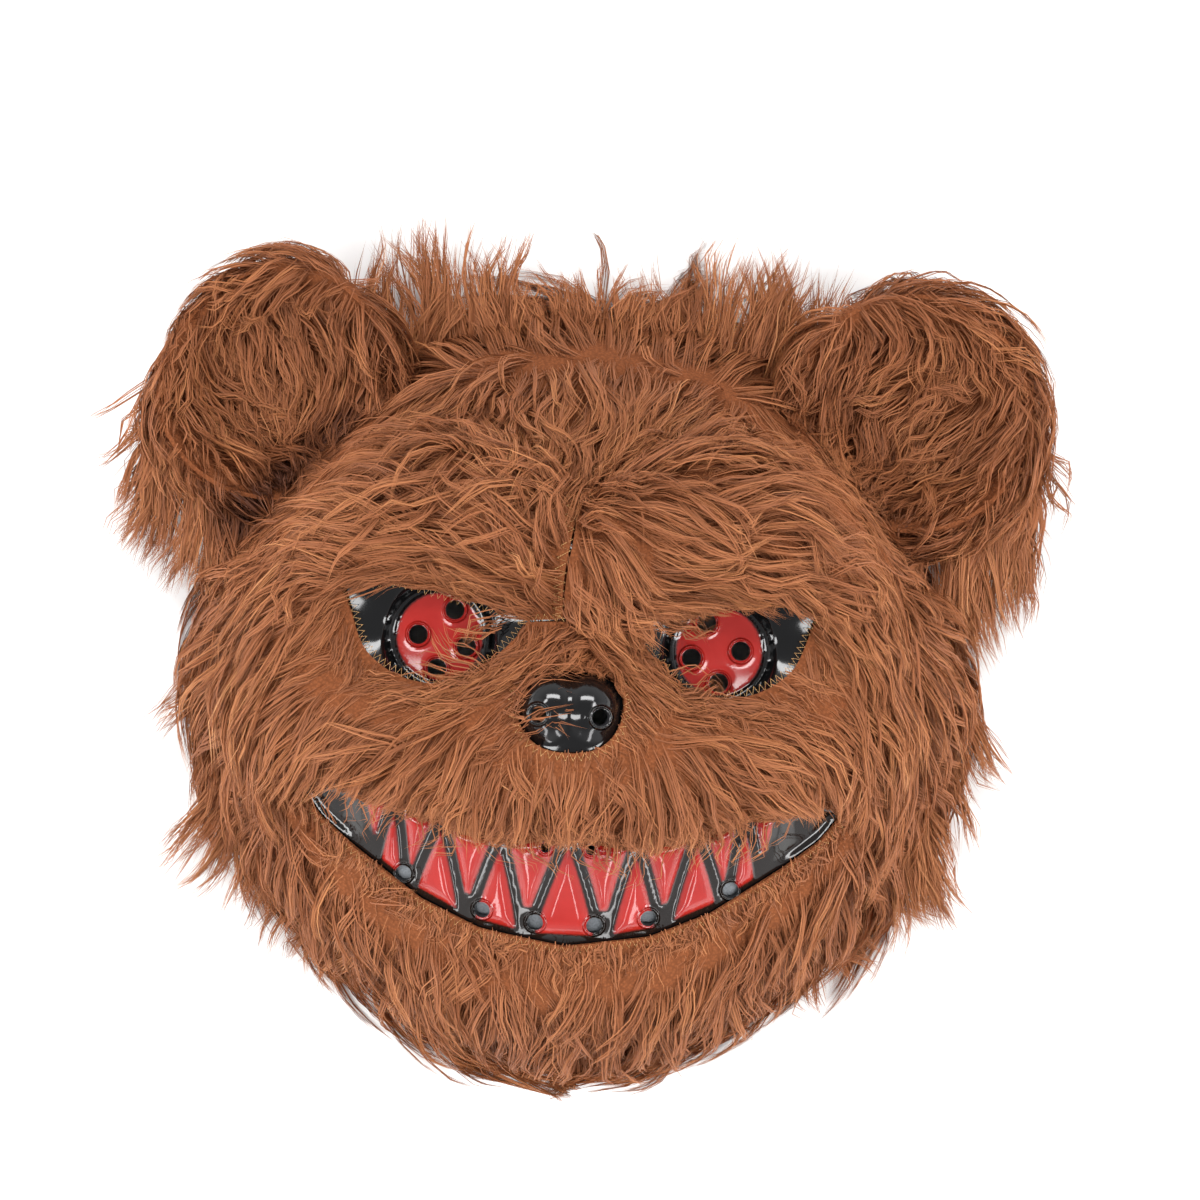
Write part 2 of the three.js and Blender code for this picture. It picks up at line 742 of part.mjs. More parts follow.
// A plush panel over a region of the head, with its locks on it
function plushPanel(region, locks, openings, keepOuts) {
  const pad = filledHead(plushThickness).intersect(column(region)).subtract(joined(openings));
  const furred = joined([pad, ...locks.map((one) => lock(one, 0))]);
  return biggest(furred.subtract(joined(keepOuts)));
}

// A panel's own outline and locks made a little bigger, for its neighbours to clear
function plushReserve(region, locks) {
  const pad = filledHead((x, y) => plushThickness(x, y) + LOCK_CLEARANCE);
  return joined([pad.intersect(column(region)), ...locks.map((one) => lock(one, LOCK_CLEARANCE))]);
}

function earPlace(side) {
  return new THREE.Vector3(side * EAR_X, EAR_Y, 0);
}

function earPad(side, grow) {
  const profile = EAR_SECTION.map(({ out, thick, rim }, row) => {
    const front = row >= EAR_SECTION.length / 2;
    const swollen = grow * (front ? 1 : -1);
    const radius = out === 0 ? 0 : out * EAR_RADIUS + grow * Math.sign(out - 0.7);
    return [radius, thick * EAR_THICKNESS + rim * EAR_RIM_RISE + swollen];
  });
  return turned(profile, EAR_FACETS, earPlace(side), new THREE.Vector3(0, 0, 1));
}

// Locks that lie round an ear's rim and run outward and down
function earLocks(side) {
  const locks = [];
  for (let step = 0; step < EAR_LOCKS; step += 1) {
    const share = step / (EAR_LOCKS - 1);
    const turn = THREE.MathUtils.degToRad(-75 + 225 * share);
    const out = new THREE.Vector3(side * Math.cos(turn), Math.sin(turn), 0);
    const inner = step % 2 === 0;
    const root = earPlace(side).addScaledVector(out, EAR_RADIUS * (inner ? 0.72 : 0.9));
    root.z = EAR_THICKNESS + EAR_RIM_RISE * (inner ? 0.85 : 0.55) - LOCK_ROOT_DEPTH;
    const up = new THREE.Vector3(0, 0, 1).addScaledVector(out, inner ? 0.1 : 0.9).normalize();
    const lie = new THREE.Vector3(side * 0.6, -1, -0.2).addScaledVector(out, inner ? 0.2 : 0.5);
    const direction = lie.addScaledVector(up, -0.9 * lie.dot(up)).normalize();
    const length = EAR_LOCK_LENGTH * (0.85 + 0.3 * scatter(step + 60 * side));
    locks.push({ root, direction, up, length, number: step + 7 * side });
  }
  return locks;
}

function ear(side, keepOuts) {
  const whole = joined([earPad(side, 0), ...earLocks(side).map((one) => lock(one, 0))]);
  return biggest(whole.subtract(joined(keepOuts)));
}

// What the crown's and cheek's locks leave free for an ear, outside the head
function earReserve(side) {
  return joined([
    earPad(side, LOCK_CLEARANCE),
    ...earLocks(side).map((one) => lock(one, LOCK_CLEARANCE)),
  ]).subtract(filledHead(plushThickness));
}

// The strap's middle line with, at each of its points, the way across its width
function strapLine() {
  const half = (side) => {
    const seat = strapSeat(side);
    const away = STRAP_CLEARANCE + STRAP_THICKNESS / 2;
    const onFloor = STRAP_ROUTE.map(({ across, up }) => {
      const y = FACE_CENTRE_Y + up * FACE_HALF_HEIGHT;
      return new THREE.Vector3(side * across * FACE_HALF_WIDTH, y, 1.3 * away);
    });
    return {
      across: seat.along.clone().multiplyScalar(side),
      points: [
        seatPoint(seat, { high: STRAP_END_HEIGHT, away }),
        seatPoint(seat, { high: STRAP_SEAT_HEIGHT, away }),
        seatPoint(seat, { high: STRAP_WIDTH / 2, away: 1.3 * away }),
        ...onFloor,
      ],
    };
  };
  const [left, right] = [half(-1), half(1)];
  const points = [...left.points, ...right.points.slice(0, -1).reverse()];
  const across = points.map((point, index) => {
    if (index < 3) return left.across;
    if (index > points.length - 4) return right.across;
    const run = points[index + 1].clone().sub(points[index - 1]).setZ(0);
    return new THREE.Vector3(0, 0, 1).cross(run).normalize();
  });
  return {
    line: new THREE.CatmullRomCurve3(points, false, "centripetal"),
    across: new THREE.CatmullRomCurve3(across, false, "centripetal"),
  };
}

function strap() {
  const { line, across } = strapLine();
  const geometry = new THREE.BoxGeometry(1, 1, 1, STRAP_STEPS, 1, 1);
  const position = geometry.attributes.position;
  for (let index = 0; index < position.count; index += 1) {
    const share = THREE.MathUtils.clamp(position.getX(index) + 0.5, 0, 1);
    const run = line.getTangent(share);
    const wide = across.getPoint(share);
    wide.addScaledVector(run, -wide.dot(run)).normalize();
    const thick = run.clone().cross(wide);
    const point = line
      .getPoint(share)
      .addScaledVector(wide, position.getY(index) * STRAP_WIDTH)
      .addScaledVector(thick, position.getZ(index) * STRAP_THICKNESS);
    position.setXYZ(index, point.x, point.y, point.z);
  }
  return solid(geometry);
}

// A named mesh with its own material
function piece(name, body, look) {
  const { vertProperties, triVerts } = body.getMesh();
  const geometry = new THREE.BufferGeometry();
  geometry.setAttribute("position", new THREE.BufferAttribute(new Float32Array(vertProperties), 3));
  geometry.setIndex(new THREE.BufferAttribute(new Uint32Array(triVerts), 1));
  geometry.computeVertexNormals();
  const mesh = new THREE.Mesh(geometry, new THREE.MeshStandardMaterial(look));
  mesh.name = name;
  return mesh;
}

const FUR = { color: 0x8a5033, roughness: 0.85, metalness: 0 };
const PLASTIC = { color: 0x1c1c1f, roughness: 0.2, metalness: 0 };
const ELASTIC = { color: 0x2a2928, roughness: 0.8, metalness: 0 };
const STEEL = { color: 0xb4b6b8, roughness: 0.35, metalness: 1 };

function mask() {
  const locks = headLocks();
  const inBrow = ({ x, y }) => Math.abs(x) < BROW_HALF_WIDTH && y > lidY(x) && y < crestY(x);
  const browLocks = (side) => locks.filter((one) => inBrow(one) && one.x * side > 0);
  const crownLocks = locks.filter((one) => !inBrow(one) && one.y > crestY(one.x));
  const cheekLocks = locks.filter((one) => !inBrow(one) && one.y <= crestY(one.x));
  const openings = [eyeOpening(-1), eyeOpening(1), noseOpening(), mouthOutline(0)].map(column);
  const keepOut = joined([faceKeepOut(), floorBox()]);
  const head = filledHead((x, y) => plushThickness(x, y) + LOCK_CLEARANCE);
  const ears = [-1, 1].map(earReserve);
  const browLeft = plushReserve(browRegion(-1), browLocks(-1));
  const browRight = plushReserve(browRegion(1), browLocks(1));
  const crown = plushReserve(crownRegion(), crownLocks);
  return [
    piece("face_shell", faceShell(), PLASTIC),
    piece("brow_left", plushPanel(browRegion(-1), browLocks(-1), openings, [keepOut]), FUR),
    piece("brow_right", plushPanel(browRegion(1), browLocks(1), openings, [keepOut, browLeft]), FUR),
    piece(
      "crown_plush",
      plushPanel(crownRegion(), crownLocks, openings, [keepOut, browLeft, browRight, ...ears]),
      FUR,
    ),
    piece(
      "face_plush",
      plushPanel(faceRegion(), cheekLocks, openings, [keepOut, browLeft, browRight, crown, ...ears]),
      FUR,
    ),
    piece("ear_left", ear(-1, [keepOut, head, browLeft]), FUR),
    piece("ear_right", ear(1, [keepOut, head, browRight]), FUR),
    piece("strap", strap(), ELASTIC),
    piece("strap_staple_left", stapleBars(-1, 0), STEEL),
    piece("strap_staple_right", stapleBars(1, 0), STEEL),
  ];
}

const group = new THREE.Group();
group.add(...mask());
const box = new THREE.Box3();
group.children.filter(({ name }) => name !== "strap").forEach((mesh) => box.expandByObject(mesh));
const middle = box.getCenter(new THREE.Vector3());
group.position.set(-middle.x, -middle.y, -box.min.z);

export default group;
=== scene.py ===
# A furry bear mask that lies on its open back and is seen from straight above. It is a
# thin moulded face with plush glued over it, two stuffed ears and an elastic strap.
# Lengths are in millimetres from the middle of the eye line, unless a name says metres.
import math

import bpy
import numpy as np
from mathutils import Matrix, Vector


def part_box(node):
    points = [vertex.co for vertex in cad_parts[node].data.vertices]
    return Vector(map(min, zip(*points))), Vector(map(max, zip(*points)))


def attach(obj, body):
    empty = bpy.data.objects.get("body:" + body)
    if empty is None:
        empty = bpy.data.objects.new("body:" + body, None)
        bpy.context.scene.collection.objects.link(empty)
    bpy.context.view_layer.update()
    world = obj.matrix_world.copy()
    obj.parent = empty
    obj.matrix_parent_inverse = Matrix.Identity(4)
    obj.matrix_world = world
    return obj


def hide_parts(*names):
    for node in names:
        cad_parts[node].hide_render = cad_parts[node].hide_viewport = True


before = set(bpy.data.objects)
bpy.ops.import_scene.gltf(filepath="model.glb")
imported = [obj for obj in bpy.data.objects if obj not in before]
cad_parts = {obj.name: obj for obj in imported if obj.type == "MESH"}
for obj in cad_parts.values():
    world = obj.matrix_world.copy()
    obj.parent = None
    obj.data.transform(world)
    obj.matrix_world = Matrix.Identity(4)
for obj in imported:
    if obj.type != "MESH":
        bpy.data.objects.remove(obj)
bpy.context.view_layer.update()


# The studio: a plain white laminate table, a soft box low at either side and one above
# the crown, which show as bright legs and an arch on each glossy bump. Two strips below
# the chin draw the long streaks on the teeth.
def linear(code):
    shares = [int(code[at : at + 2], 16) / 255 for at in (1, 3, 5)]
    return [s / 12.92 if s <= 0.04045 else ((s + 0.055) / 1.055) ** 2.4 for s in shares] + [1.0]


def add(tree, kind, inputs, **settings):
    node = tree.nodes.new("ShaderNode" + kind)
    for name, value in settings.items():
        setattr(node, name, value)
    for name, value in inputs.items():
        if isinstance(value, bpy.types.NodeSocket):
            tree.links.new(value, node.inputs[name])
        else:
            node.inputs[name].default_value = value
    return node


def new_material(name):
    material = bpy.data.materials.new(name)
    material.use_nodes = True
    tree = material.node_tree
    return material, tree, tree.nodes["Principled BSDF"]


def colours(node, stops):
    ramp = node.color_ramp
    while len(ramp.elements) < len(stops):
        ramp.elements.new(0.5)
    for element, (place, code) in zip(ramp.elements, stops):
        element.position = place
        element.color = linear(code)


def soft_box(name, width, height, power, place, aim):
    light = bpy.data.lights.new(name, "AREA")
    light.shape, light.size, light.size_y, light.energy = "RECTANGLE", width, height, power
    lamp = bpy.data.objects.new(name, light)
    bpy.context.scene.collection.objects.link(lamp)
    lamp.location = place
    lamp.rotation_euler = (Vector(aim) - Vector(place)).to_track_quat("-Z", "Y").to_euler()


# White melamine laminate: matt, with a barely uneven sheen
laminate, tree, shader = new_material("white_laminate")
place = add(tree, "TexCoord", {})
mottle = add(tree, "TexNoise", {"Vector": place.outputs["Object"], "Scale": 40.0, "Detail": 3.0})
sheen = add(tree, "MapRange", {"Value": mottle.outputs["Fac"], "To Min": 0.55, "To Max": 0.7})
tree.links.new(sheen.outputs["Result"], shader.inputs["Roughness"])
shader.inputs["Base Color"].default_value = linear("#f6f6f5")

bpy.ops.mesh.primitive_grid_add(x_subdivisions=8, y_subdivisions=8, size=6, location=(0, 0, 0))
table = bpy.context.object
table.name = "studio_table"
table.data.materials.append(laminate)

soft_box("soft_box_left", 0.3, 2.2, 26, (-1.15, -0.3, 0.65), (0, -0.3, 0.05))
soft_box("soft_box_right", 0.3, 2.2, 26, (1.15, -0.3, 0.65), (0, -0.3, 0.05))
soft_box("soft_box_crown", 1.0, 0.24, 11, (0, 0.85, 0.95), (0, 0, 0.05))
soft_box("strip_light_left", 0.16, 0.7, 3, (-0.42, -1.3, 0.55), (0, -0.07, 0.07))
soft_box("strip_light_right", 0.16, 0.7, 3, (0.42, -1.3, 0.55), (0, -0.07, 0.07))

# The room's walls are white and its ceiling is dark, so that flat plastic stays black
air = bpy.data.worlds.new("studio_air")
air.use_nodes = True
tree = air.node_tree
backdrop = tree.nodes["Background"]
direction = add(tree, "TexCoord", {})
level = add(tree, "SeparateXYZ", {"Vector": direction.outputs["Generated"]})
dimmed = add(
    tree,
    "MapRange",
    {"Value": level.outputs["Z"], "From Min": 0.15, "From Max": 0.85, "To Min": 0.95, "To Max": 0.38},
    interpolation_type="SMOOTHSTEP",
)
tree.links.new(dimmed.outputs["Result"], backdrop.inputs["Strength"])
backdrop.inputs["Color"].default_value = linear("#fdfdff")
bpy.context.scene.world = air
bpy.context.scene.view_settings.view_transform = "Standard"

lens = bpy.data.cameras.new("camera")
lens.lens, lens.sensor_width = 100, 36
camera = bpy.data.objects.new("camera", lens)
bpy.context.scene.collection.objects.link(camera)
camera.location = (0.00577, 0.02502, 1.016)
camera.rotation_euler = (0, 0, math.radians(3))
bpy.context.scene.camera = camera


# The moulded face: black PVC sheet, 1 mm thick, drawn down over a mould and then
# drilled. Its round eyes and its teeth are sprayed red; the rest is left glossy black.
face_half_width, face_half_height, face_centre_y = 106.0, 104.0, -15.0
face_depth, face_roundness, chin_taper, shell_wall = 62.0, 2.4, 0.2, 1.0
eye_x, eye_radius, eye_bulge, eye_lean, eye_hole_radius = 40.5, 13.0, 0.5, math.radians(9), 2.8
nose_x, nose_y, bulb_radius, bulb_spread, bulb_rise = -1.6, -19.0, 9.0, 9.6, 4.0
mouth_half_width, mouth_corner_y, mouth_drop = 79.0, -44.5, 42.5
tooth_rise, tooth_groove, tooth_root_gap = 2.5, 2.6, 0.5
rim_reach, rim_band = 1.25, 0.2
swells = [
    (0, -0.36, 0.42, 0.29, 0.29),
    (0, -0.18, 0.14, 0.12, 0.1),
    (0.62, -0.37, 0.25, 0.29, 0.11),
    (0.38, 0, 0.23, 0.14, -0.15),
    (0, -0.96, 0.32, 0.17, 0.08),
    (0, 0.77, 0.5, 0.2, -0.1),
]
crest = [(0, 0.69), (0.24, 0.86), (0.49, 1), (0.78, 0.86), (1, 0.4)]
lid = [(0, 0.6), (0.17, 0.48), (0.78, 1), (1, 1.75)]
upper_lip = [(0, 0.23), (0.21, 0.29), (0.38, 0.25), (0.6, 0.1), (0.88, -0.04), (1, 0)]
lower_lip = [(0, 1), (0.31, 0.91), (0.53, 0.73), (0.78, 0.4), (0.91, 0.21), (1, 0)]
tooth_tips = [0, 0.143, 0.246, 0.362, 0.463, 0.578, 0.637, 0.713, 0.78]
eye_holes = [(0.48, 0.03), (-0.32, 0.62), (-0.62, -0.18), (0.02, -0.7)]
breath_holes = [(0.108, 0.85, 2.35), (0.304, 0.785, 2.35), (0.6, 0.57, 2.35), (0.081, 0.315, 1.5)]
brow_half_width, brow_crest_y, brow_lid_y = 88.0, 58.0, 12.5
ridge_rise, ridge_width = 12.0, 16.0

shell_low, shell_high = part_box("face_shell")
drawing_origin = np.array(
    [
        (shell_low.x + shell_high.x) * 500,
        (shell_low.y + shell_high.y) * 500 - face_centre_y,
        0.0,
    ]
)


def ease(value, low, high):
    share = np.clip((value - low) / (high - low), 0, 1)
    return share * share * (3 - 2 * share)


def read_off(rows, share):
    return np.interp(share, [row[0] for row in rows], [row[1] for row in rows])


def crest_y(x):
    return brow_crest_y * read_off(crest, np.abs(x) / brow_half_width)


def lid_y(x):
    return brow_lid_y * read_off(lid, np.abs(x) / brow_half_width)


def lip_y(lip, x):
    return mouth_corner_y - mouth_drop * read_off(lip, np.abs(x) / mouth_half_width)


def way_out(x, y):
    up = (y - face_centre_y) / face_half_height
    width = face_half_width * (1 - chin_taper * np.minimum(up, 0) ** 2)
    return np.hypot(x / width, up)


def swell(x, y):
    rise = np.zeros_like(x, dtype=float)
    for middle_x, middle_y, across, up, height in swells:
        away = (np.abs(x) - middle_x * face_half_width) / (across * face_half_width)
        over = (y - middle_y * face_half_height) / (up * face_half_height)
        rise += height * face_depth * np.exp(-away * away - over * over)
    ridge = (y - crest_y(x) + ridge_width) / ridge_width
    fade = 1 - ease(np.abs(x), 0.75 * brow_half_width, 1.15 * brow_half_width)
    return rise + ridge_rise * fade * np.exp(-ridge * ridge)


def face_height(x, y):
    out = np.minimum(way_out(x, y), 1)
    dome = face_depth * (1 - out**face_roundness) ** (1 / face_roundness)
    return dome + swell(x, y) * (1 - out**6)


def tooth_outlines():
    half = tooth_groove / 2
    last = len(tooth_tips) - 2
    for index in range(-last, last + 1):
        before, tip, after = (
            math.copysign(tooth_tips[abs(at)] * mouth_half_width, at) for at in (index - 1, index, index + 1)
        )
        points_up = index % 2 == 0
        tip_lip, root_lip = (upper_lip, lower_lip) if points_up else (lower_lip, upper_lip)
        way = 1 if points_up else -1
        outline = [
            (before + half, lip_y(root_lip, before + half) + way * tooth_root_gap),
            (after - half, lip_y(root_lip, after - half) + way * tooth_root_gap),
            (tip + half / 2, lip_y(tip_lip, tip) - way * half),
            (tip - half / 2, lip_y(tip_lip, tip) - way * half),
        ]
        yield outline if points_up else outline[::-1]


def inside_teeth(x, y):
    """Depth inside the nearest tooth: lower ones swell like bullets, upper ones are slender"""
    deepest = np.full_like(x, -9.0)
    above = y - lip_y(lower_lip, x)
    tall = lip_y(upper_lip, x) - lip_y(lower_lip, x)
    share = np.clip(above / (tall + 1e-6), 0, 1)
    belly = 4 * share * (1 - share)
    for index, outline in enumerate(tooth_outlines()):
        points_up = index % 2 == 1
        depth = np.full_like(x, 99.0) if points_up else (share - 0.3) * tall
        for edge, ((ax, ay), (bx, by)) in enumerate(zip(outline, outline[1:] + outline[:1])):
            away = ((bx - ax) * (y - ay) - (by - ay) * (x - ax)) / math.hypot(bx - ax, by - ay)
            if edge in (1, 3):
                away = away - 1.0 + (0.6 if points_up else -0.3) * belly
            elif points_up:
                away = away - 0.9 * (edge == 0)
            depth = np.minimum(depth, away)
        deepest = np.maximum(deepest, depth)
    return deepest


def drilled_holes():
    holes = []
    for side in (-1, 1):
        for out, up in eye_holes:
            dome = eye_bulge * (1 - out * out - up * up)
            x = side * (eye_x + math.cos(eye_lean) * out * eye_radius + math.sin(eye_lean) * dome)
            holes.append((x, up * eye_radius, eye_hole_radius, 0.35))
        for across, down, radius in breath_holes:
            x, y = side * across * mouth_half_width, mouth_corner_y - down * mouth_drop
            holes.append((x, y, radius, 0.5))
        holes.append((nose_x + side * 8.9, nose_y - 0.8, 2.5, 0.6))
    return holes


def mould(x, y):
    height = face_height(x, y)
    hole_edge = np.full_like(x, 9.0)
    paint = inside_teeth(x, y)
    in_mouth = np.minimum(lip_y(upper_lip, x) - y, y - lip_y(lower_lip, x))
    rise = np.clip(paint / 3.5, 0, 1)
    height = height + 0.95 * tooth_rise * (1 - (1 - rise) ** 2)
    # The mouth's corners are drawn in a little behind the teeth
    corner = ease(np.abs(x), 58, 66) * (1 - ease(np.abs(x), 73, 80)) * ease(in_mouth, 0, 3)
    height = height - 2.2 * corner
    for side in (-1, 1):
        middle_x, lean = side * eye_x, side * eye_lean
        away = np.hypot((x - middle_x) / math.cos(lean), y)
        plane = face_height(np.array(middle_x), np.array(0.0)) - math.tan(lean) * (x - middle_x)
        disc = plane + eye_bulge * (1 - (away / eye_radius) ** 2)
        bezel = plane + 1.5 * np.sqrt(np.clip(1 - ((away - 14.15) / 1.15) ** 2, 0, 1))
        eye = np.where(away < eye_radius, disc, bezel)
        height = np.where(away < 17.5, eye + (height - eye) * ease(away, 14.9, 17.2), height)
        paint = np.maximum(paint, eye_radius - 0.1 - away)
    bulb_z = face_height(np.array(0.0), np.array(nose_y)) + bulb_rise - bulb_radius
    bulbs = []
    for side in (-1, 1):
        away = (x - nose_x - side * bulb_spread / 2) ** 2 + ((y - nose_y) / 1.15) ** 2
        ball = bulb_z + np.sqrt(np.clip(bulb_radius**2 - away, 0, None))
        bulbs.append(np.where(away < bulb_radius**2, ball, -99.0))
    nose = np.maximum(*bulbs) + 0.2 * np.clip(1 - np.abs(bulbs[0] - bulbs[1]) / 0.8, 0, 1) ** 2
    blend = np.clip(1 - np.abs(nose - height) / 1.5, 0, 1) ** 2 * 0.375
    height = np.where(nose > height - 1.5, np.maximum(nose, height) + blend, height)
    for hole_x, hole_y, radius, lip in drilled_holes():
        away = np.hypot(x - hole_x, y - hole_y)
        height = height + lip * np.exp(-(((away - radius - 0.55) / 0.6) ** 2))
        hole_edge = np.minimum(hole_edge, away - radius)
    return height, paint, in_mouth, hole_edge


def spread(shares):
    reach = np.maximum(np.hypot(*shares.T), 1e-9)
    bend = 0.75 + 0.25 * np.sin(np.clip((reach - 0.75) / 0.5, 0, 1) * math.pi / 2)
    scale = np.where(reach > 0.75, bend, reach) / reach
    up = shares[:, 1] * scale
    width = face_half_width * (1 - chin_taper * np.minimum(up, 0) ** 2)
    return shares[:, 0] * scale * width, face_centre_y + face_half_height * up


def rim_margin(shares):
    return (rim_reach - np.hypot(*shares.T)) * face_half_width


def cut_sheet(columns, rows, margin):
    shares = np.stack(np.meshgrid(columns, rows), -1).reshape(-1, 2)
    index = np.arange(len(shares)).reshape(len(rows), len(columns))
    corners = [index[:-1, :-1], index[:-1, 1:], index[1:, 1:], index[1:, :-1]]
    cells = np.stack(corners, -1).reshape(-1, 4)
    cells = cells[margin(shares[cells].mean(1)) > 0]
    edges = np.concatenate([cells[:, [at, (at + 1) % 4]] for at in range(4)])
    ordered = np.sort(edges, 1)
    keys = ordered[:, 0] * len(shares) + ordered[:, 1]
    _, first, uses = np.unique(keys, return_index=True, return_counts=True)
    rim = edges[first[uses == 1]]
    on_rim = np.unique(rim)
    nudge = 1e-4
    for _ in range(4):
        here = shares[on_rim]
        value = margin(here)
        slope = np.stack([margin(here + [nudge, 0]) - value, margin(here + [0, nudge]) - value], 1) / nudge
        move = -value[:, None] * slope / np.maximum((slope**2).sum(1, keepdims=True), 1.0)
        shares[on_rim] = here + np.clip(move, -0.012, 0.012)
    used, flat = np.unique(cells, return_inverse=True)
    renumber = np.zeros(len(shares), int)
    renumber[used] = np.arange(len(used))
    return shares[used], flat.reshape(cells.shape), renumber[rim]


def corner_normals(points, cells):
    across = points[cells[:, 2]] - points[cells[:, 0]]
    along = points[cells[:, 3]] - points[cells[:, 1]]
    facing = np.cross(across, along)
    normals = np.zeros_like(points)
    for at in range(cells.shape[1]):
        np.add.at(normals, cells[:, at], facing)
    return normals / np.maximum(np.linalg.norm(normals, axis=1, keepdims=True), 1e-9)


def new_piece(name, points, faces, materials):
    """A piece from points of the drawing, with one array for each kind of face"""
    mesh = bpy.data.meshes.new(name)
    mesh.vertices.add(len(points))
    mesh.vertices.foreach_set("co", ((points + drawing_origin) / 1000).astype(np.float32).ravel())
    corners = np.concatenate([np.asarray(group).ravel() for group in faces])
    counts = np.concatenate([np.full(len(group), group.shape[1]) for group in faces])
    mesh.loops.add(len(corners))
    mesh.loops.foreach_set("vertex_index", corners.astype(np.int32))
    mesh.polygons.add(len(counts))
    mesh.polygons.foreach_set("loop_start", (np.cumsum(counts) - counts).astype(np.int32))
    mesh.polygons.foreach_set("use_smooth", np.ones(len(counts), bool))
    for material in materials:
        mesh.materials.append(material)
    mesh.update(calc_edges=True)
    piece = bpy.data.objects.new(name, mesh)
    bpy.context.scene.collection.objects.link(piece)
    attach(piece, "root")
    return piece


def note(piece, name, values):
    attribute = piece.data.attributes.new(name, "FLOAT", "POINT")
    attribute.data.foreach_set("value", np.asarray(values, np.float32).ravel())


def thick_sheet(name, outer, inner, cells, rim, materials):
    """A closed sheet; its back and its rim take the second material"""
    count = len(outer)
    back = cells[:, ::-1] + count
    wall = np.stack([rim[:, 1], rim[:, 0], rim[:, 0] + count, rim[:, 1] + count], 1)
    piece = new_piece(name, np.concatenate([outer, inner]), [cells, back, wall], materials)
    kinds = np.concatenate([np.zeros(len(cells)), np.ones(len(back) + len(wall))]).astype(np.int32)
    piece.data.polygons.foreach_set("material_index", kinds)
    piece.data.set_sharp_from_angle(angle=math.radians(62))
    return piece


def steps(*stops):
    """Grid lines in millimetres: from a stop to the next one at the step before it"""
    lines = [stops[0]]
    for step, stop in zip(stops[1::2], stops[2::2]):
        count = max(1, round((stop - lines[-1]) / step))
        lines += list(np.linspace(lines[-1], stop, count + 1)[1:])
    return np.array(lines)


half_columns = steps(0, 0.95, 24, 0.7, 57.5, 1.3, 80, 3.6, 132.5)
columns = np.concatenate([-half_columns[:0:-1], half_columns]) / face_half_width
rows = steps(-145, 3.6, -91, 0.95, -42, 1.2, -32, 0.8, -16, 0.7, 16.5, 3.2, 115)
rows = (rows - face_centre_y) / face_half_height


def shell_margin(shares):
    x, y = spread(shares)
    away = [np.hypot(x - hole_x, y - hole_y) - radius for hole_x, hole_y, radius, _ in drilled_holes()]
    return np.minimum(rim_margin(shares), np.min(away, 0))


shares, cells, rim = cut_sheet(columns, rows, shell_margin)
x, y = spread(shares)
height, paint, in_mouth, hole_edge = mould(x, y)
height[rim_margin(shares) < rim_band] = 0
outer = np.stack([x, y, height], 1)
inner = outer - shell_wall * corner_normals(outer, cells)
inner[:, 2] = np.maximum(inner[:, 2], 0)

# Glossy black PVC with sprayed red enamel. The spray has a slightly soft edge, and the
# sheet keeps the mould's faint waviness, about 9 mm from crest to crest.
sprayed, tree, shader = new_material("sprayed_black_pvc")
place = add(tree, "TexCoord", {})
red_depth = add(tree, "Attribute", {}, attribute_name="paint_depth")
mouth_depth = add(tree, "Attribute", {}, attribute_name="mouth_depth")
fleck = add(tree, "TexNoise", {"Vector": place.outputs["Object"], "Scale": 900.0, "Detail": 2.0})
ragged = add(tree, "MapRange", {"Value": fleck.outputs["Fac"], "To Min": -0.22, "To Max": 0.22})
edge = add(tree, "Math", {0: red_depth.outputs["Fac"], 1: ragged.outputs["Result"]}, operation="ADD")
sprayed_share = add(
    tree,
    "MapRange",
    {"Value": edge.outputs["Value"], "From Min": -0.1, "From Max": 0.9},
    interpolation_type="SMOOTHSTEP",
)
in_groove = add(tree, "MapRange", {"Value": mouth_depth.outputs["Fac"], "From Min": 0.0, "From Max": 1.5})
blotch = add(tree, "TexNoise", {"Vector": place.outputs["Object"], "Scale": 110.0, "Detail": 4.0})
reds = add(tree, "ValToRGB", {"Fac": blotch.outputs["Fac"]})
colours(reds, [(0.3, "#981e19"), (0.7, "#a52520")])
blacks = add(
    tree,
    "Mix",
    {"Factor": in_groove.outputs["Result"], "A": linear("#0b0b0c"), "B": linear("#17120f")},
    data_type="RGBA",
)
skin = add(
    tree,
    "Mix",
    {
        "Factor": sprayed_share.outputs["Result"],
        "A": blacks.outputs["Result"],
        "B": reds.outputs["Color"],
    },
    data_type="RGBA",
)
waves = add(tree, "TexNoise", {"Vector": place.outputs["Object"], "Scale": 110.0, "Detail": 2.0})
wavy = add(tree, "Bump", {"Height": waves.outputs["Fac"], "Strength": 0.08, "Distance": 0.0005})
from_hole = add(tree, "Attribute", {}, attribute_name="hole_edge")
lip_share = add(tree, "Math", {0: from_hole.outputs["Fac"], 1: 0.4}, operation="MULTIPLY")
lip = add(tree, "ValToRGB", {"Fac": lip_share.outputs["Value"]})
lip.color_ramp.interpolation = "EASE"
colours(lip, [(0.04, "#505050"), (0.24, "#ffffff"), (0.5, "#000000")])
lipped = add(
    tree,
    "Bump",
    {"Height": lip.outputs["Color"], "Strength": 1.0, "Distance": 0.0007, "Normal": wavy.outputs["Normal"]},
)
polish = add(tree, "MapRange", {"Value": blotch.outputs["Fac"], "To Min": 0.07, "To Max": 0.14})
for socket, value in (
    ("Base Color", skin.outputs["Result"]),
    ("Roughness", polish.outputs["Result"]),
    ("Normal", lipped.outputs["Normal"]),
):
    tree.links.new(value, shader.inputs[socket])
shader.inputs["IOR"].default_value = 1.53

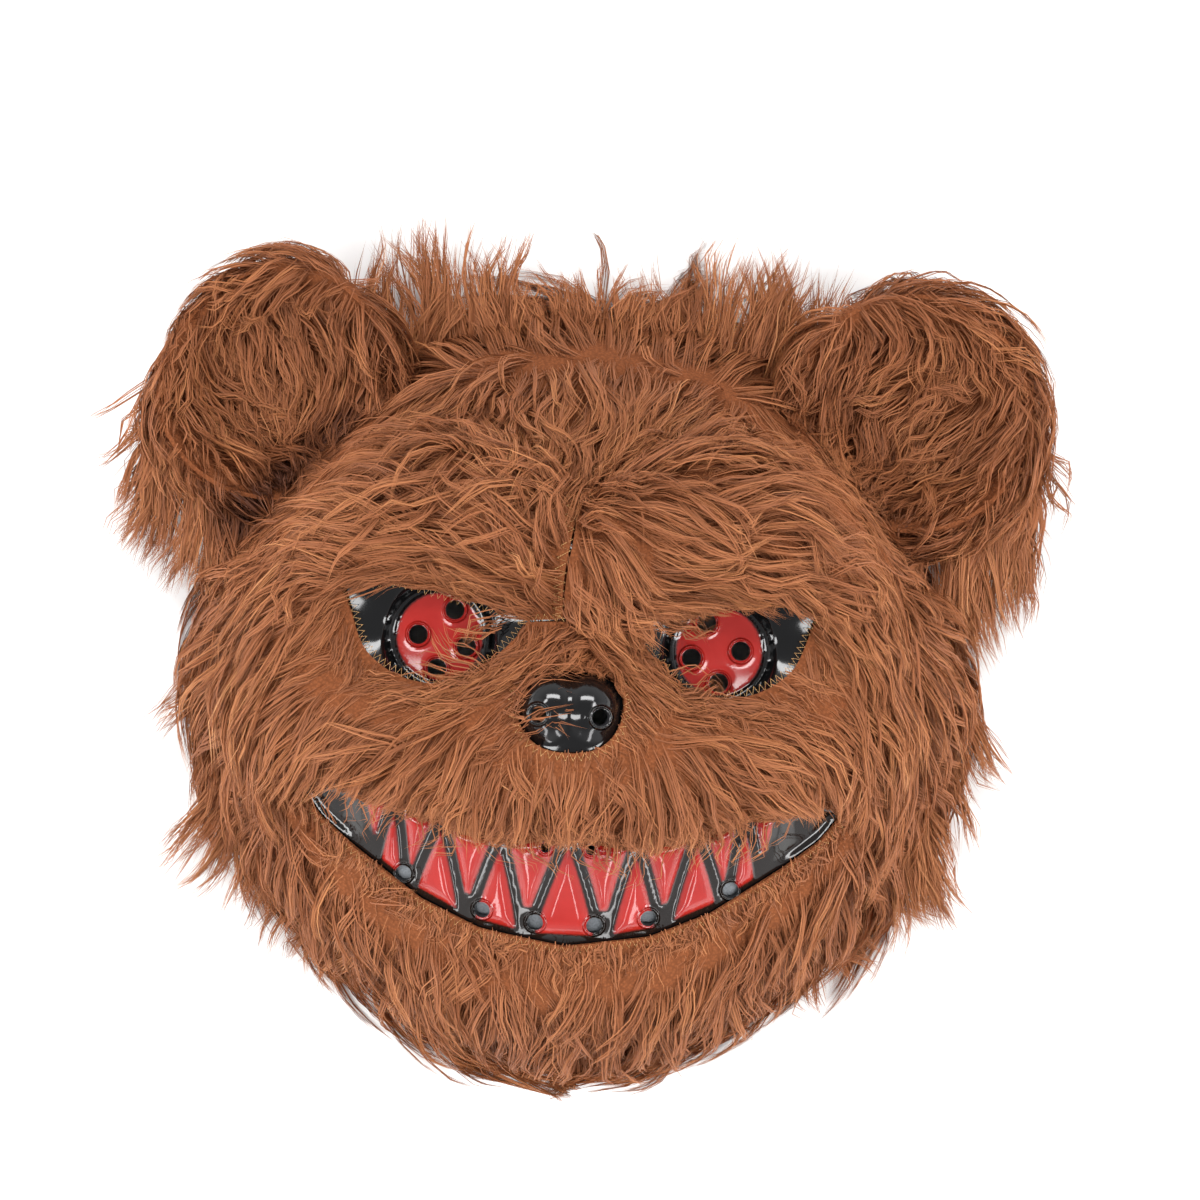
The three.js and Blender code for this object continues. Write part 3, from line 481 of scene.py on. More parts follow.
# The back of the same sheet, unpainted: the mould never touched it, so it is duller
bare_pvc, tree, shader = new_material("bare_black_pvc")
place = add(tree, "TexCoord", {})
drawn = add(tree, "TexNoise", {"Vector": place.outputs["Object"], "Scale": 60.0, "Detail": 5.0})
greys = add(tree, "ValToRGB", {"Fac": drawn.outputs["Fac"]})
colours(greys, [(0.3, "#1b1b1d"), (0.7, "#29292b")])
dull = add(tree, "MapRange", {"Value": drawn.outputs["Fac"], "To Min": 0.28, "To Max": 0.42})
soft = add(tree, "Bump", {"Height": drawn.outputs["Fac"], "Strength": 0.15, "Distance": 0.0008})
tree.links.new(greys.outputs["Color"], shader.inputs["Base Color"])
tree.links.new(dull.outputs["Result"], shader.inputs["Roughness"])
tree.links.new(soft.outputs["Normal"], shader.inputs["Normal"])
shader.inputs["IOR"].default_value = 1.53

shell = thick_sheet("moulded_face", outer, inner, cells, rim, [sprayed, bare_pvc])
note(shell, "paint_depth", np.concatenate([paint, paint]))
note(shell, "mouth_depth", np.concatenate([in_mouth, in_mouth]))
note(shell, "hole_edge", np.concatenate([hole_edge, hole_edge]))
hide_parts("face_shell")


# Six flat grey discs lie behind the larger breathing holes, which show through them as flat
# grey rounds. Each is 0.3 mm thick.
def face_field(points):
    x, y, z = points.T
    out = way_out(x, y)
    level = z - swell(x, y) * (1 - np.minimum(out, 1) ** 6)
    return out**face_roundness + (np.maximum(level, 0) / face_depth) ** face_roundness - 1


def face_slope(points, value):
    nudge = 0.05
    slope = [(face_field(points + nudge * np.eye(3)[axis]) - value) / nudge for axis in range(3)]
    return np.stack(slope, 1)


def on_face(points):
    """The nearest places on the face and the way out from it there"""
    foot = points.copy()
    for _ in range(3):
        value = face_field(foot)
        slope = face_slope(foot, value)
        foot = foot - value[:, None] * slope / np.maximum((slope**2).sum(1, keepdims=True), 1e-9)
        foot[:, 2] = np.maximum(foot[:, 2], 0)
    slope = face_slope(foot, face_field(foot))
    return foot, slope / np.maximum(np.linalg.norm(slope, axis=1, keepdims=True), 1e-9)


def over_face(points):
    foot, out = on_face(points)
    return ((points - foot) * out).sum(1), out


def under(x, y):
    """The place on the face below a place of the drawing, and the way out there"""
    return on_face(np.array([[x, y, float(face_height(np.array(x), np.array(y)))]]))


hole_grey, tree, shader = new_material("flat_grey_disc")
place = add(tree, "TexCoord", {})
fibres = add(tree, "TexNoise", {"Vector": place.outputs["Object"], "Scale": 1800.0, "Detail": 4.0})
greys = add(tree, "ValToRGB", {"Fac": fibres.outputs["Fac"]})
colours(greys, [(0.3, "#6e7276"), (0.7, "#868a8e")])
fuzz = add(tree, "Bump", {"Height": fibres.outputs["Fac"], "Strength": 0.4, "Distance": 0.0003})
tree.links.new(greys.outputs["Color"], shader.inputs["Base Color"])
tree.links.new(fuzz.outputs["Normal"], shader.inputs["Normal"])
shader.inputs["Roughness"].default_value = 0.95

grey_disc_sides, grey_disc_lap, grey_disc_depths = 16, 1.6, (-1.35, -1.65)
hub = 2 * grey_disc_sides
points, faces = [], []
for side in (-1, 1):
    for across, down, radius in breath_holes[:3]:
        x, y = side * across * mouth_half_width, mouth_corner_y - down * mouth_drop
        middle, out = under(x, y)
        along = np.cross(out[0], [0, 1, 0])
        along /= np.linalg.norm(along)
        up = np.cross(out[0], along)
        start = len(points)
        for depth in grey_disc_depths:
            for ring in (radius + grey_disc_lap, radius * 0.6):
                for turn in np.arange(grey_disc_sides) * math.pi / (grey_disc_sides / 2):
                    arm = ring * (math.cos(turn) * along + math.sin(turn) * up)
                    points.append(middle[0] + depth * out[0] + arm)
            points.append(middle[0] + (depth - 0.1) * out[0])
        for layer, flip in ((0, 1), (hub + 1, -1)):
            for at in range(grey_disc_sides):
                after = (at + 1) % grey_disc_sides
                ring = [at, after, after + grey_disc_sides, at + grey_disc_sides]
                faces.append([start + layer + corner for corner in ring[::flip]])
                spoke = [at + grey_disc_sides, after + grey_disc_sides, hub, hub]
                faces.append([start + layer + corner for corner in spoke[::flip]])
        back = start + hub + 1
        for at in range(grey_disc_sides):
            after = (at + 1) % grey_disc_sides
            faces.append([start + after, start + at, back + at, back + after])
quads = np.array([face for face in faces if len(set(face)) == 4])
spokes = np.array([list(dict.fromkeys(face)) for face in faces if len(set(face)) == 3])
new_piece("breathing_hole_discs", np.array(points), [quads, spokes], [hole_grey])


# The strap: flat knitted elastic, 8 mm wide and 1 mm thick, with the threads of rubber
# in ribs along it. Its ends are stapled inside the cheeks, and it lies slack behind the face.
def smooth_line(points, places, closed=False):
    """A centripetal Catmull-Rom line through points, at shares of its whole run"""
    points = [np.asarray(point, float) for point in points]
    count = len(points)
    result = []
    for share in places:
        run = share * (count if closed else count - 1)
        at = min(int(run), count - (1 if closed else 2))
        weight = run - at
        if closed:
            p0, p1, p2, p3 = (points[(at + step) % count] for step in (-1, 0, 1, 2))
        else:
            p1, p2 = points[at], points[at + 1]
            p0 = points[at - 1] if at > 0 else 2 * p1 - p2
            p3 = points[at + 2] if at + 2 < count else 2 * p2 - p1
        gaps = [max(np.linalg.norm(b - a), 1e-6) ** 0.5 for a, b in ((p0, p1), (p1, p2), (p2, p3))]
        start = ((p1 - p0) / gaps[0] - (p2 - p0) / (gaps[0] + gaps[1]) + (p2 - p1) / gaps[1]) * gaps[1]
        end = ((p2 - p1) / gaps[1] - (p3 - p1) / (gaps[1] + gaps[2]) + (p3 - p2) / gaps[2]) * gaps[1]
        result.append(
            p1
            + start * weight
            + (-3 * p1 + 3 * p2 - 2 * start - end) * weight**2
            + (2 * p1 - 2 * p2 + start + end) * weight**3
        )
    return np.array(result)


def distance_along(line):
    return np.concatenate([[0], np.cumsum(np.linalg.norm(np.diff(line, axis=0), axis=1))])


def face_place(turn, out):
    lean = math.pi / 2 * out**1.5
    radius = np.sin(lean) ** (2 / face_roundness)
    up = radius * np.sin(turn)
    width = face_half_width * (1 - chin_taper * np.minimum(up, 0) ** 2)
    return width * radius * np.cos(turn), face_centre_y + face_half_height * up


def inner_corner(turn, out):
    x, y = face_place(turn, out)
    foot, way = under(x, y)
    point = foot[0] - shell_wall * way[0]
    if out == 1:
        point[2] = 0
    return point


strap_width, strap_thickness, strap_gap = 8.0, 1.0, 0.3
strap_away = strap_gap + strap_thickness / 2
strap_down_cheek = [(12, 1), (7.5, 1), (4, 1.3)]
strap_round_back = [(97, -4), (82, 7), (62, 22), (34, 36), (0, 41)]
shell_sides, shell_rings = 32, 8


def strap_seat(side):
    facet = 2 * math.pi / shell_sides
    turn = facet / 2 if side > 0 else math.pi - facet / 2
    rings = (1, 1 - 1 / shell_rings)
    ends = [[inner_corner(turn + half * facet / 2, out) for half in (-1, 1)] for out in rings]
    low, high = (np.mean(pair, 0) for pair in ends)
    along = (ends[0][1] - ends[0][0]) / np.linalg.norm(ends[0][1] - ends[0][0])
    up = high - low
    up -= along * (up @ along)
    up /= np.linalg.norm(up)
    return low, along, up, np.cross(up, along)


line, wide = [], []
for side in (-1, 1):
    low, along, up, inward = strap_seat(side)
    seat = [low + up * high + inward * strap_away * far for high, far in strap_down_cheek]
    floor = [(side * x, y, 1.3 * strap_away) for x, y in strap_round_back]
    half = [*seat, *floor]
    line = half if side < 0 else line + half[:-1][::-1]
    wide.append(along * side)
run = np.gradient(np.array(line), axis=0)
across = np.cross([0, 0, 1], run * [1, 1, 0])
across /= np.linalg.norm(across, axis=1, keepdims=True)
across[:3], across[-3:] = wide
places = np.linspace(0, 1, 121)
middle = smooth_line(line, places)
across = smooth_line(across, places)
run = np.gradient(middle, axis=0)
run /= np.linalg.norm(run, axis=1, keepdims=True)
across -= run * (across * run).sum(1, keepdims=True)
across /= np.linalg.norm(across, axis=1, keepdims=True)
thick = np.cross(run, across)
section = []
for place in np.linspace(-0.5, 0.5, 13):
    rib = 0.42 + 0.08 * math.cos(place * 12 * math.pi)
    section.append((place, rib if abs(place) < 0.49 else 0.25))
section = section + [(place, -high) for place, high in section[::-1]]
rings = np.stack(
    [middle + across * place * strap_width + thick * high * strap_thickness for place, high in section], 1
)
count = len(section)
at = np.arange(len(places) - 1)[:, None] * count + np.arange(count)[None, :]
after = np.arange(len(places) - 1)[:, None] * count + (np.arange(count)[None, :] + 1) % count
quads = np.stack([at, at + count, after + count, after], -1).reshape(-1, 4)
caps = [[base + step, base + step + 1, base + count - 2 - step, base + count - 1 - step]
        for base in (0, (len(places) - 1) * count) for step in range(count // 2 - 1)]

# Knitted elastic: charcoal polyester round rubber threads, with a stitch each 1.1 mm
elastic, tree, shader = new_material("knitted_elastic")
along_strap = add(tree, "Attribute", {}, attribute_name="along")
across_strap = add(tree, "Attribute", {}, attribute_name="across")
stitch = add(tree, "Math", {0: along_strap.outputs["Fac"], 1: 2 * math.pi / 1.1}, operation="MULTIPLY")
rib = add(tree, "Math", {0: across_strap.outputs["Fac"], 1: 2 * math.pi / 0.66}, operation="MULTIPLY")
slanted = add(tree, "Math", {0: stitch.outputs["Value"], 1: rib.outputs["Value"]}, operation="ADD")
stitch_wave = add(tree, "Math", {0: slanted.outputs["Value"]}, operation="SINE")
rib_wave = add(tree, "Math", {0: rib.outputs["Value"]}, operation="SINE")
knit = add(tree, "Math", {0: stitch_wave.outputs["Value"], 1: rib_wave.outputs["Value"]}, operation="ADD")
knit_share = add(tree, "MapRange", {"Value": knit.outputs["Value"], "From Min": -2.0, "From Max": 2.0})
charcoals = add(tree, "ValToRGB", {"Fac": knit_share.outputs["Result"]})
colours(charcoals, [(0.2, "#1d1c1c"), (0.8, "#3c3a39")])
relief = add(tree, "Bump", {"Height": knit.outputs["Value"], "Strength": 0.5, "Distance": 0.0002})
tree.links.new(charcoals.outputs["Color"], shader.inputs["Base Color"])
tree.links.new(relief.outputs["Normal"], shader.inputs["Normal"])
shader.inputs["Roughness"].default_value = 0.8

strap = new_piece("elastic_strap", rings.reshape(-1, 3), [quads, np.array(caps)], [elastic])
travelled = distance_along(middle)
note(strap, "along", np.repeat(travelled, count))
note(strap, "across", np.tile([place * strap_width for place, _ in section], len(places)))
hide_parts("strap")

# Staples: galvanised steel wire, 0.8 mm, faintly drawn along its length
wire, tree, shader = new_material("galvanised_wire")
place = add(tree, "TexCoord", {})
drawn = add(tree, "TexNoise", {"Vector": place.outputs["Object"], "Scale": 900.0, "Detail": 3.0})
greys = add(tree, "ValToRGB", {"Fac": drawn.outputs["Fac"]})
colours(greys, [(0.3, "#a9abad"), (0.7, "#cfd1d2")])
dull = add(tree, "MapRange", {"Value": drawn.outputs["Fac"], "To Min": 0.25, "To Max": 0.42})
tree.links.new(greys.outputs["Color"], shader.inputs["Base Color"])
tree.links.new(dull.outputs["Result"], shader.inputs["Roughness"])
shader.inputs["Metallic"].default_value = 1.0
for name in ("strap_staple_left", "strap_staple_right"):
    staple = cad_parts[name]
    staple.data.materials.clear()
    staple.data.materials.append(wire)


# The plush cover's backing: brown knitted tricot that carries the pile, padded to a few
# millimetres and glued over the face. Two brow pads, a crown and a face panel meet in seams.
eye_opening = [(-0.96, 0.41), (-0.33, 0.76), (0.17, 0.97), (0.5, 1.08), (1.03, 0.85), (0.97, 0.4),
               (0.78, -0.37), (0.32, -0.87), (-0.34, -0.85), (-0.68, -0.3)]
eye_opening_width, eye_opening_height = 53.0, 30.0
nose_opening = [(0, 1), (0.65, 0.93), (1, 0.4), (0.92, -0.4), (0.5, -0.9), (-0.5, -0.9),
                (-0.92, -0.4), (-1, 0.4), (-0.65, 0.93)]
nose_opening_width, nose_opening_height = 29.0, 22.5
plush_pad, plush_edge, brow_pad, seam_gap = 10.0, 3.0, 4.0, 0.6
bridge_seam_x = -3.7


def opening_outline(shape, middle_x, middle_y, half_width, half_height, side=1):
    corners = [(middle_x + side * out * half_width, middle_y + up * half_height, 0) for out, up in shape]
    return smooth_line(corners, np.arange(60) / 60, closed=True)[:, :2]


eye_outlines = [
    opening_outline(eye_opening, side * eye_x, 0, eye_opening_width / 2, eye_opening_height / 2, side)
    for side in (-1, 1)
]
nose_outline = opening_outline(nose_opening, nose_x, nose_y, nose_opening_width / 2, nose_opening_height / 2)


def outside(outline, x, y):
    """How far a place lies outside a closed outline, and below nothing inside it"""
    nearest = np.full(np.shape(x), 1e9)
    crossings = np.zeros(np.shape(x), int)
    for (ax, ay), (bx, by) in zip(outline, np.roll(outline, -1, 0)):
        run_x, run_y = bx - ax, by - ay
        share = np.clip(((x - ax) * run_x + (y - ay) * run_y) / (run_x**2 + run_y**2), 0, 1)
        nearest = np.minimum(nearest, np.hypot(x - ax - share * run_x, y - ay - share * run_y))
        level = (ay > y) != (by > y)
        crossings += level & (x < ax + run_x * (y - ay) / (run_y if run_y else 1e-9))
    return np.where(crossings % 2 == 1, -nearest, nearest)


def opening_margin(x, y):
    mouth = np.maximum.reduce(
        [y - lip_y(upper_lip, x), lip_y(lower_lip, x) - y, np.abs(x) - mouth_half_width]
    )
    return np.minimum.reduce([outside(outline, x, y) for outline in (*eye_outlines, nose_outline)] + [mouth])


def plush_thickness(x, y):
    eye = np.hypot((np.abs(x) - eye_x) / (eye_opening_width / 2), y / (eye_opening_height / 2))
    nose = np.hypot(x / (nose_opening_width / 2), (y - nose_y) / (nose_opening_height / 2))
    upper, lower = lip_y(upper_lip, x), lip_y(lower_lip, x)
    gape = (upper - lower) / 2 + plush_pad / 2
    mouth = np.maximum(np.abs(x) / mouth_half_width, np.abs(y - (upper + lower) / 2) / gape)
    full = ease(eye, 1, 1.8) * ease(nose, 1, 2) * ease(mouth, 0.9, 1.6)
    over_brow = ease((y - lid_y(x)) / (crest_y(x) - lid_y(x)), 0, 1) * (y < crest_y(x))
    in_brow = np.where(np.abs(x) < brow_half_width, brow_pad * over_brow, 0)
    return plush_edge + (plush_pad - plush_edge) * full + in_brow


def crown_seam(x):
    side = np.abs(x)
    return np.where(side < brow_half_width, crest_y(x), 23.2 - (side - brow_half_width) * 0.092)


def face_seam(x):
    side = np.abs(x)
    return np.where(side < brow_half_width, lid_y(x), 21.9 - (side - brow_half_width) * 0.08)


def panel_margin(panel, x, y):
    half = seam_gap / 2
    if panel == "crown_plush":
        return y - crown_seam(x) - half
    if panel == "face_plush":
        return face_seam(x) - half - y
    brow = np.minimum(y - face_seam(x), crown_seam(x) - y) - half
    inner = x - bridge_seam_x if panel == "brow_right" else bridge_seam_x - x
    return np.minimum.reduce([brow, inner - half, brow_half_width - np.abs(x)])


tricot, tree, shader = new_material("brown_tricot")
place = add(tree, "TexCoord", {})
loops = add(tree, "TexVoronoi", {"Vector": place.outputs["Object"], "Scale": 1100.0})
browns = add(tree, "ValToRGB", {"Fac": loops.outputs["Distance"]})
colours(browns, [(0.0, "#8a5030"), (0.7, "#6f3f25")])
relief = add(
    tree,
    "Bump",
    {"Height": loops.outputs["Distance"], "Strength": 0.6, "Distance": 0.0004},
    invert=True,
)
tree.links.new(browns.outputs["Color"], shader.inputs["Base Color"])
tree.links.new(relief.outputs["Normal"], shader.inputs["Normal"])
shader.inputs["Roughness"].default_value = 0.9
shader.inputs["Specular IOR Level"].default_value = 0.1

panels = ("face_plush", "crown_plush", "brow_left", "brow_right")
lines = np.linspace(-rim_reach, rim_reach, 125)
for panel in panels:

    def plush_margin(shares):
        x, y = spread(shares)
        return np.minimum.reduce([rim_margin(shares), opening_margin(x, y), panel_margin(panel, x, y)])

    shares, cells, rim = cut_sheet(lines, lines, plush_margin)
    x, y = spread(shares)
    height = face_height(x, y)
    height[rim_margin(shares) < rim_band] = 0
    foot = np.stack([x, y, height], 1)
    _, out = on_face(foot)
    backing_top = foot + out * (0.42 * plush_thickness(x, y))[:, None]
    backing_top[:, 2] = np.maximum(backing_top[:, 2], 0)
    backing = thick_sheet(
        "backing_" + panel, backing_top, foot + 0.4 * out, cells, rim, [tricot, tricot]
    )
    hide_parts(panel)


# The pile: crimped acrylic fibre that has gathered into wavy locks, 12 mm long round the
# openings and up to 40 mm at the rim. Each panel's pile lies the way that it was brushed.
brushed = {
    "brow_left": [
        (-8, 12, -0.95, 0.3), (-8, 28, -0.8, 0.6), (-12, 42, -0.7, 0.7), (-25, 14, -0.9, 0.42),
        (-25, 30, -0.85, 0.55), (-28, 46, -0.9, 0.3), (-45, 18, -0.92, 0.4), (-45, 36, -0.97, 0.2),
        (-48, 52, -1, 0), (-65, 22, -1, 0), (-65, 42, -0.9, -0.3), (-84, 24, -0.75, -0.65),
    ],
    "brow_right": [
        (0, 42, 0.05, -1), (0, 25, 0, -1), (0, 10, 0, -1), (10, 42, 0.75, 0.5), (11, 27, 0.9, -0.2),
        (9, 11, 0.5, -0.85), (25, 47, 0.95, 0.25), (25, 27, 1, -0.1), (25, 12, 0.85, -0.5),
        (48, 53, 1, -0.1), (48, 32, 1, -0.12), (48, 15, 0.95, -0.3), (68, 42, 0.85, -0.5),
        (68, 20, 0.85, -0.45), (84, 28, 0.7, -0.7),
    ],
    "crown_plush": [
        (0, 50, -0.1, -1), (0, 78, 0, -1), (-25, 62, -0.1, -1), (-50, 68, -0.25, -0.95),
        (-75, 45, -0.6, -0.8), (-88, 30, -0.7, -0.7), (20, 55, -0.45, -0.9), (35, 66, -0.35, -0.95),
        (55, 66, 0.1, -1), (75, 45, 0.6, -0.8), (88, 30, 0.7, -0.7),
    ],
    "face_plush": [
        (0, 2, 0, -1), (-8, -6, -0.5, -0.9), (8, -6, 0.5, -0.9), (-18, -14, -0.95, -0.35),
        (18, -14, 0.9, -0.45), (-40, -22, -1, -0.15), (40, -22, 1, -0.1), (-62, -12, -0.8, -0.6),
        (62, -12, 0.85, -0.5), (-80, 2, -0.5, -0.85), (80, 2, 0.5, -0.85), (-97, 8, -0.5, -0.85),
        (97, 8, 0.45, -0.9), (-72, -34, -0.6, -0.8), (72, -34, 0.55, -0.85), (-97, -30, -0.35, -0.95),
        (97, -30, 0.3, -0.95), (-26, -36, -0.6, -0.85), (26, -36, 0.35, -0.95), (-8, -42, -0.15, -1),
        (8, -42, -0.2, -1), (-46, -38, -0.7, -0.75), (46, -38, 0.6, -0.75), (-75, -68, -0.35, -0.95),
        (75, -68, 0.35, -0.95), (-50, -92, -0.2, -1), (50, -92, 0.25, -1), (-15, -103, 0, -1),
        (20, -103, 0.05, -1),
    ],
}
# Lines of painted shade in the folds between the ears and the head, and how much each darkens the pile
fold_shade_lines = [((-106, 29), (-74, 62), 0.42), ((73, 76), (103, 24), 0.14)]
strand_points = 6
ribbon_mm = (0.26, 0.44)
head_strands, ear_strands, wisp_strands = 9, 7, 2


def head_flow(panel, strength):
    table = np.array(brushed[panel], float)
    table[:, 2:] /= np.hypot(table[:, 2], table[:, 3])[:, None]

    def flow(foot, out):
        gap = (foot[:, None, 0] - table[None, :, 0]) ** 2 + (foot[:, None, 1] - table[None, :, 1]) ** 2
        weight = np.exp(-gap / (2 * 13.0**2)) + 1e-9
        way = np.zeros_like(foot)
        way[:, :2] = weight @ table[:, 2:] / weight.sum(1, keepdims=True)
        flare = ease(way_out(foot[:, 0], foot[:, 1]), 0.88, 1.0) * strength
        return way + flare[:, None] * out * [1, 1, 0]

    return flow


def unit(vectors):
    return vectors / np.maximum(np.linalg.norm(vectors, axis=-1, keepdims=True), 1e-9)


def turned(vectors, axis, angle):
    sine, cosine = np.sin(angle)[:, None], np.cos(angle)[:, None]
    return vectors * cosine + np.cross(axis, vectors) * sine


def comb(roots, surface, flow, length, angle):
    """Each lock's feet on the surface, the way out there, and what reached past the floor"""
    foot, out = surface(roots)
    feet, outs, spare = [foot], [out], [np.zeros(len(foot))]
    for _ in range(strand_points - 1):
        way = flow(foot, out)
        way = way - out * (way * out).sum(1, keepdims=True)
        way = turned(unit(way), out, angle)
        goal = foot + way * (length / (strand_points - 1))[:, None]
        below = np.maximum(0, 0.5 - goal[:, 2])
        goal[:, 2] = np.maximum(goal[:, 2], 0.5)
        foot, out = surface(goal)
        feet.append(foot)
        outs.append(out)
        spare.append(spare[-1] + below)
    return np.stack(feet, 1), np.stack(outs, 1), np.stack(spare, 1)


def trimmed(feet, length, overhang):
    """Lengths that let a lock hang over an opening's edge by no more than its overhang"""
    share = np.linspace(0, 1, strand_points)
    inside = -opening_margin(feet[:, :, 0], feet[:, :, 1]) - overhang[:, None]
    reach = np.ones(len(feet))
    for at in range(strand_points - 1, 0, -1):
        before, after = inside[:, at - 1], inside[:, at]
        crossed = (before <= 0) & (after > 0)
        where = share[at - 1] + (share[at] - share[at - 1]) * -before / np.where(crossed, after - before, 1)
        reach = np.where(crossed, where, reach)
    reach = np.where(inside[:, 0] > 0, 0.25, reach)
    return length * np.clip(reach, 0.2, 1)


def mouth_cut(roots):
    """Over the mouth the thick pile leans out by itself, so it is cut back further"""
    return 4.5 * ease(-roots[:, 1], 32, 42)


def all_alike(length):
    """Gives each lock the same length"""
    return lambda roots: np.full(len(roots), float(length))


def together(grown):
    """The paths, ways out and tones of several growths, each as one array"""
    return (np.concatenate(parts) for parts in zip(*grown))


def nearest(points, others):
    return np.argmin(((points[:, None, :] - others[None, :, :]) ** 2).sum(2), 1)


def grow(dice, big_roots, small_roots, surface, flow, pile, per_lock, length, wave=1.0, trim=False):
    """Strand paths, the way out along them and their tones, from big locks and small ones"""
    share = np.linspace(0, 1, strand_points)
    count, big = len(small_roots), len(big_roots)
    parent = nearest(small_roots, big_roots)
    big_angle, big_length = dice.normal(0, 0.3, big), dice.uniform(0.8, 1.2, big)
    big_high, big_tone = dice.uniform(0.75, 1.15, big), dice.normal(0, 1, big)
    big_phase, big_sway = dice.uniform(0, 6.3, big), dice.uniform(0.5, 1.0, big)
    reach = length(small_roots) * big_length[parent] * dice.uniform(0.88, 1.12, count)
    angle = big_angle[parent] + dice.normal(0, 0.17, count)
    big_reach = length(big_roots) * big_length
    feet, outs, spare = comb(small_roots, surface, flow, reach, angle)
    if trim:
        reach = trimmed(feet, reach, dice.uniform(0.5, 3.5, count) - mouth_cut(small_roots))
        feet, outs, spare = comb(small_roots, surface, flow, reach, angle)
        big_feet, _, _ = comb(big_roots, surface, flow, big_reach, big_angle)
        big_reach = trimmed(big_feet, big_reach, 2.0 - mouth_cut(big_roots))
    big_feet, _, _ = comb(big_roots, surface, flow, big_reach, big_angle)
    pull = (0.5 * share**1.3)[None, :, None]
    home = (small_roots - big_roots[parent])[:, None, :]
    feet = feet * (1 - pull) + (big_feet[parent] + 0.35 * home) * pull
    low, top = pile(small_roots)
    high = big_high[parent] * dice.uniform(0.45, 1.1, count)
    rise = 1 - (1 - share) ** 2.6
    lift = low[:, None] + (np.maximum(top * high - low, 0.6))[:, None] * (rise - 0.22 * share**3)[None, :]
    run = unit(np.gradient(feet, axis=1))
    beside = np.cross(outs, run)
    phase = big_phase[parent][:, None] + 2.2 * math.pi * share[None, :]
    sway = wave * big_sway[parent][:, None] * 2.6 * share[None, :] * np.sin(phase)
    own = wave * 1.1 * share[None, :] * np.sin(
        dice.uniform(0, 6.3, count)[:, None] + 3.4 * math.pi * share[None, :]
    )
    locks = feet + outs * (lift + 0.85 * spare)[:, :, None] + beside * (sway + own)[:, :, None]
    # Strands of a small lock start beside each other and draw together at its tip
    owner = np.repeat(np.arange(count), per_lock)
    total = len(owner)
    turn, far = dice.uniform(0, 6.3, total), 2.3 * np.sqrt(dice.uniform(0, 1, total))
    offset = (
        beside[owner, 0] * (far * np.cos(turn))[:, None] + run[owner, 0] * (far * np.sin(turn))[:, None]
    )
    loose = dice.uniform(0, 1, total) < 0.06
    tight = np.where(loose, -0.5, dice.uniform(0.6, 0.95, total))
    gather = 1 - tight[:, None] * share[None, :] ** 0.8
    crimp_phase, crimps = dice.uniform(0, 6.3, total), dice.uniform(2.5, 5.0, total)
    waving = np.sin(crimp_phase[:, None] + crimps[:, None] * math.pi * share[None, :])
    crimp = (0.22 + 0.5 * loose)[:, None] * share[None, :] * waving
    layer = dice.normal(0, 0.5, total)[:, None] * share[None, :]
    layer = layer + (loose * 1.6)[:, None] * share[None, :] ** 2
    cut = dice.uniform(0.82, 1.0, total)
    at = cut[:, None] * (strand_points - 1) * share[None, :]
    low_at = np.minimum(at.astype(int), strand_points - 2)
    mix = (at - low_at)[:, :, None]
    rows = owner[:, None]
    spine = locks[rows, low_at] * (1 - mix) + locks[rows, low_at + 1] * mix
    out_at = outs[rows, low_at]
    side_at = beside[rows, low_at]
    paths = spine + offset[:, None, :] * gather[:, :, None]
    paths = paths + side_at * crimp[:, :, None] + out_at * layer[:, :, None]
    paths[:, :, 2] = np.maximum(paths[:, :, 2], 0.3)
    # Part of the tone is painted shade: strands that stand lower in the pile, and each strand towards its
    # root, are darker; higher strands and tips are lighter
    tone = (
        0.47
        + 0.035 * big_tone[parent[owner]][:, None]
        + 0.045 * dice.normal(0, 1, count)[owner][:, None]
        + 0.05 * dice.normal(0, 1, total)[:, None]
        + 0.12 * (high[owner] - 0.75)[:, None]
        + 0.08 * loose[:, None]
        + (0.16 * share - 0.08)[None, :]
    )
    return paths, out_at, tone


def painted_fold_shade(x, y):
    """How much painted shade darkens a place in the fold between an ear and the head"""
    depth = np.zeros_like(x)
    for (x1, y1), (x2, y2), dark in fold_shade_lines:
        run_x, run_y = x2 - x1, y2 - y1
        at = np.clip(((x - x1) * run_x + (y - y1) * run_y) / (run_x**2 + run_y**2), 0, 1)
        away = np.hypot(x - x1 - at * run_x, y - y1 - at * run_y)
        depth = np.maximum(depth, dark * np.exp(-((away / 6.5) ** 2)))
    return depth


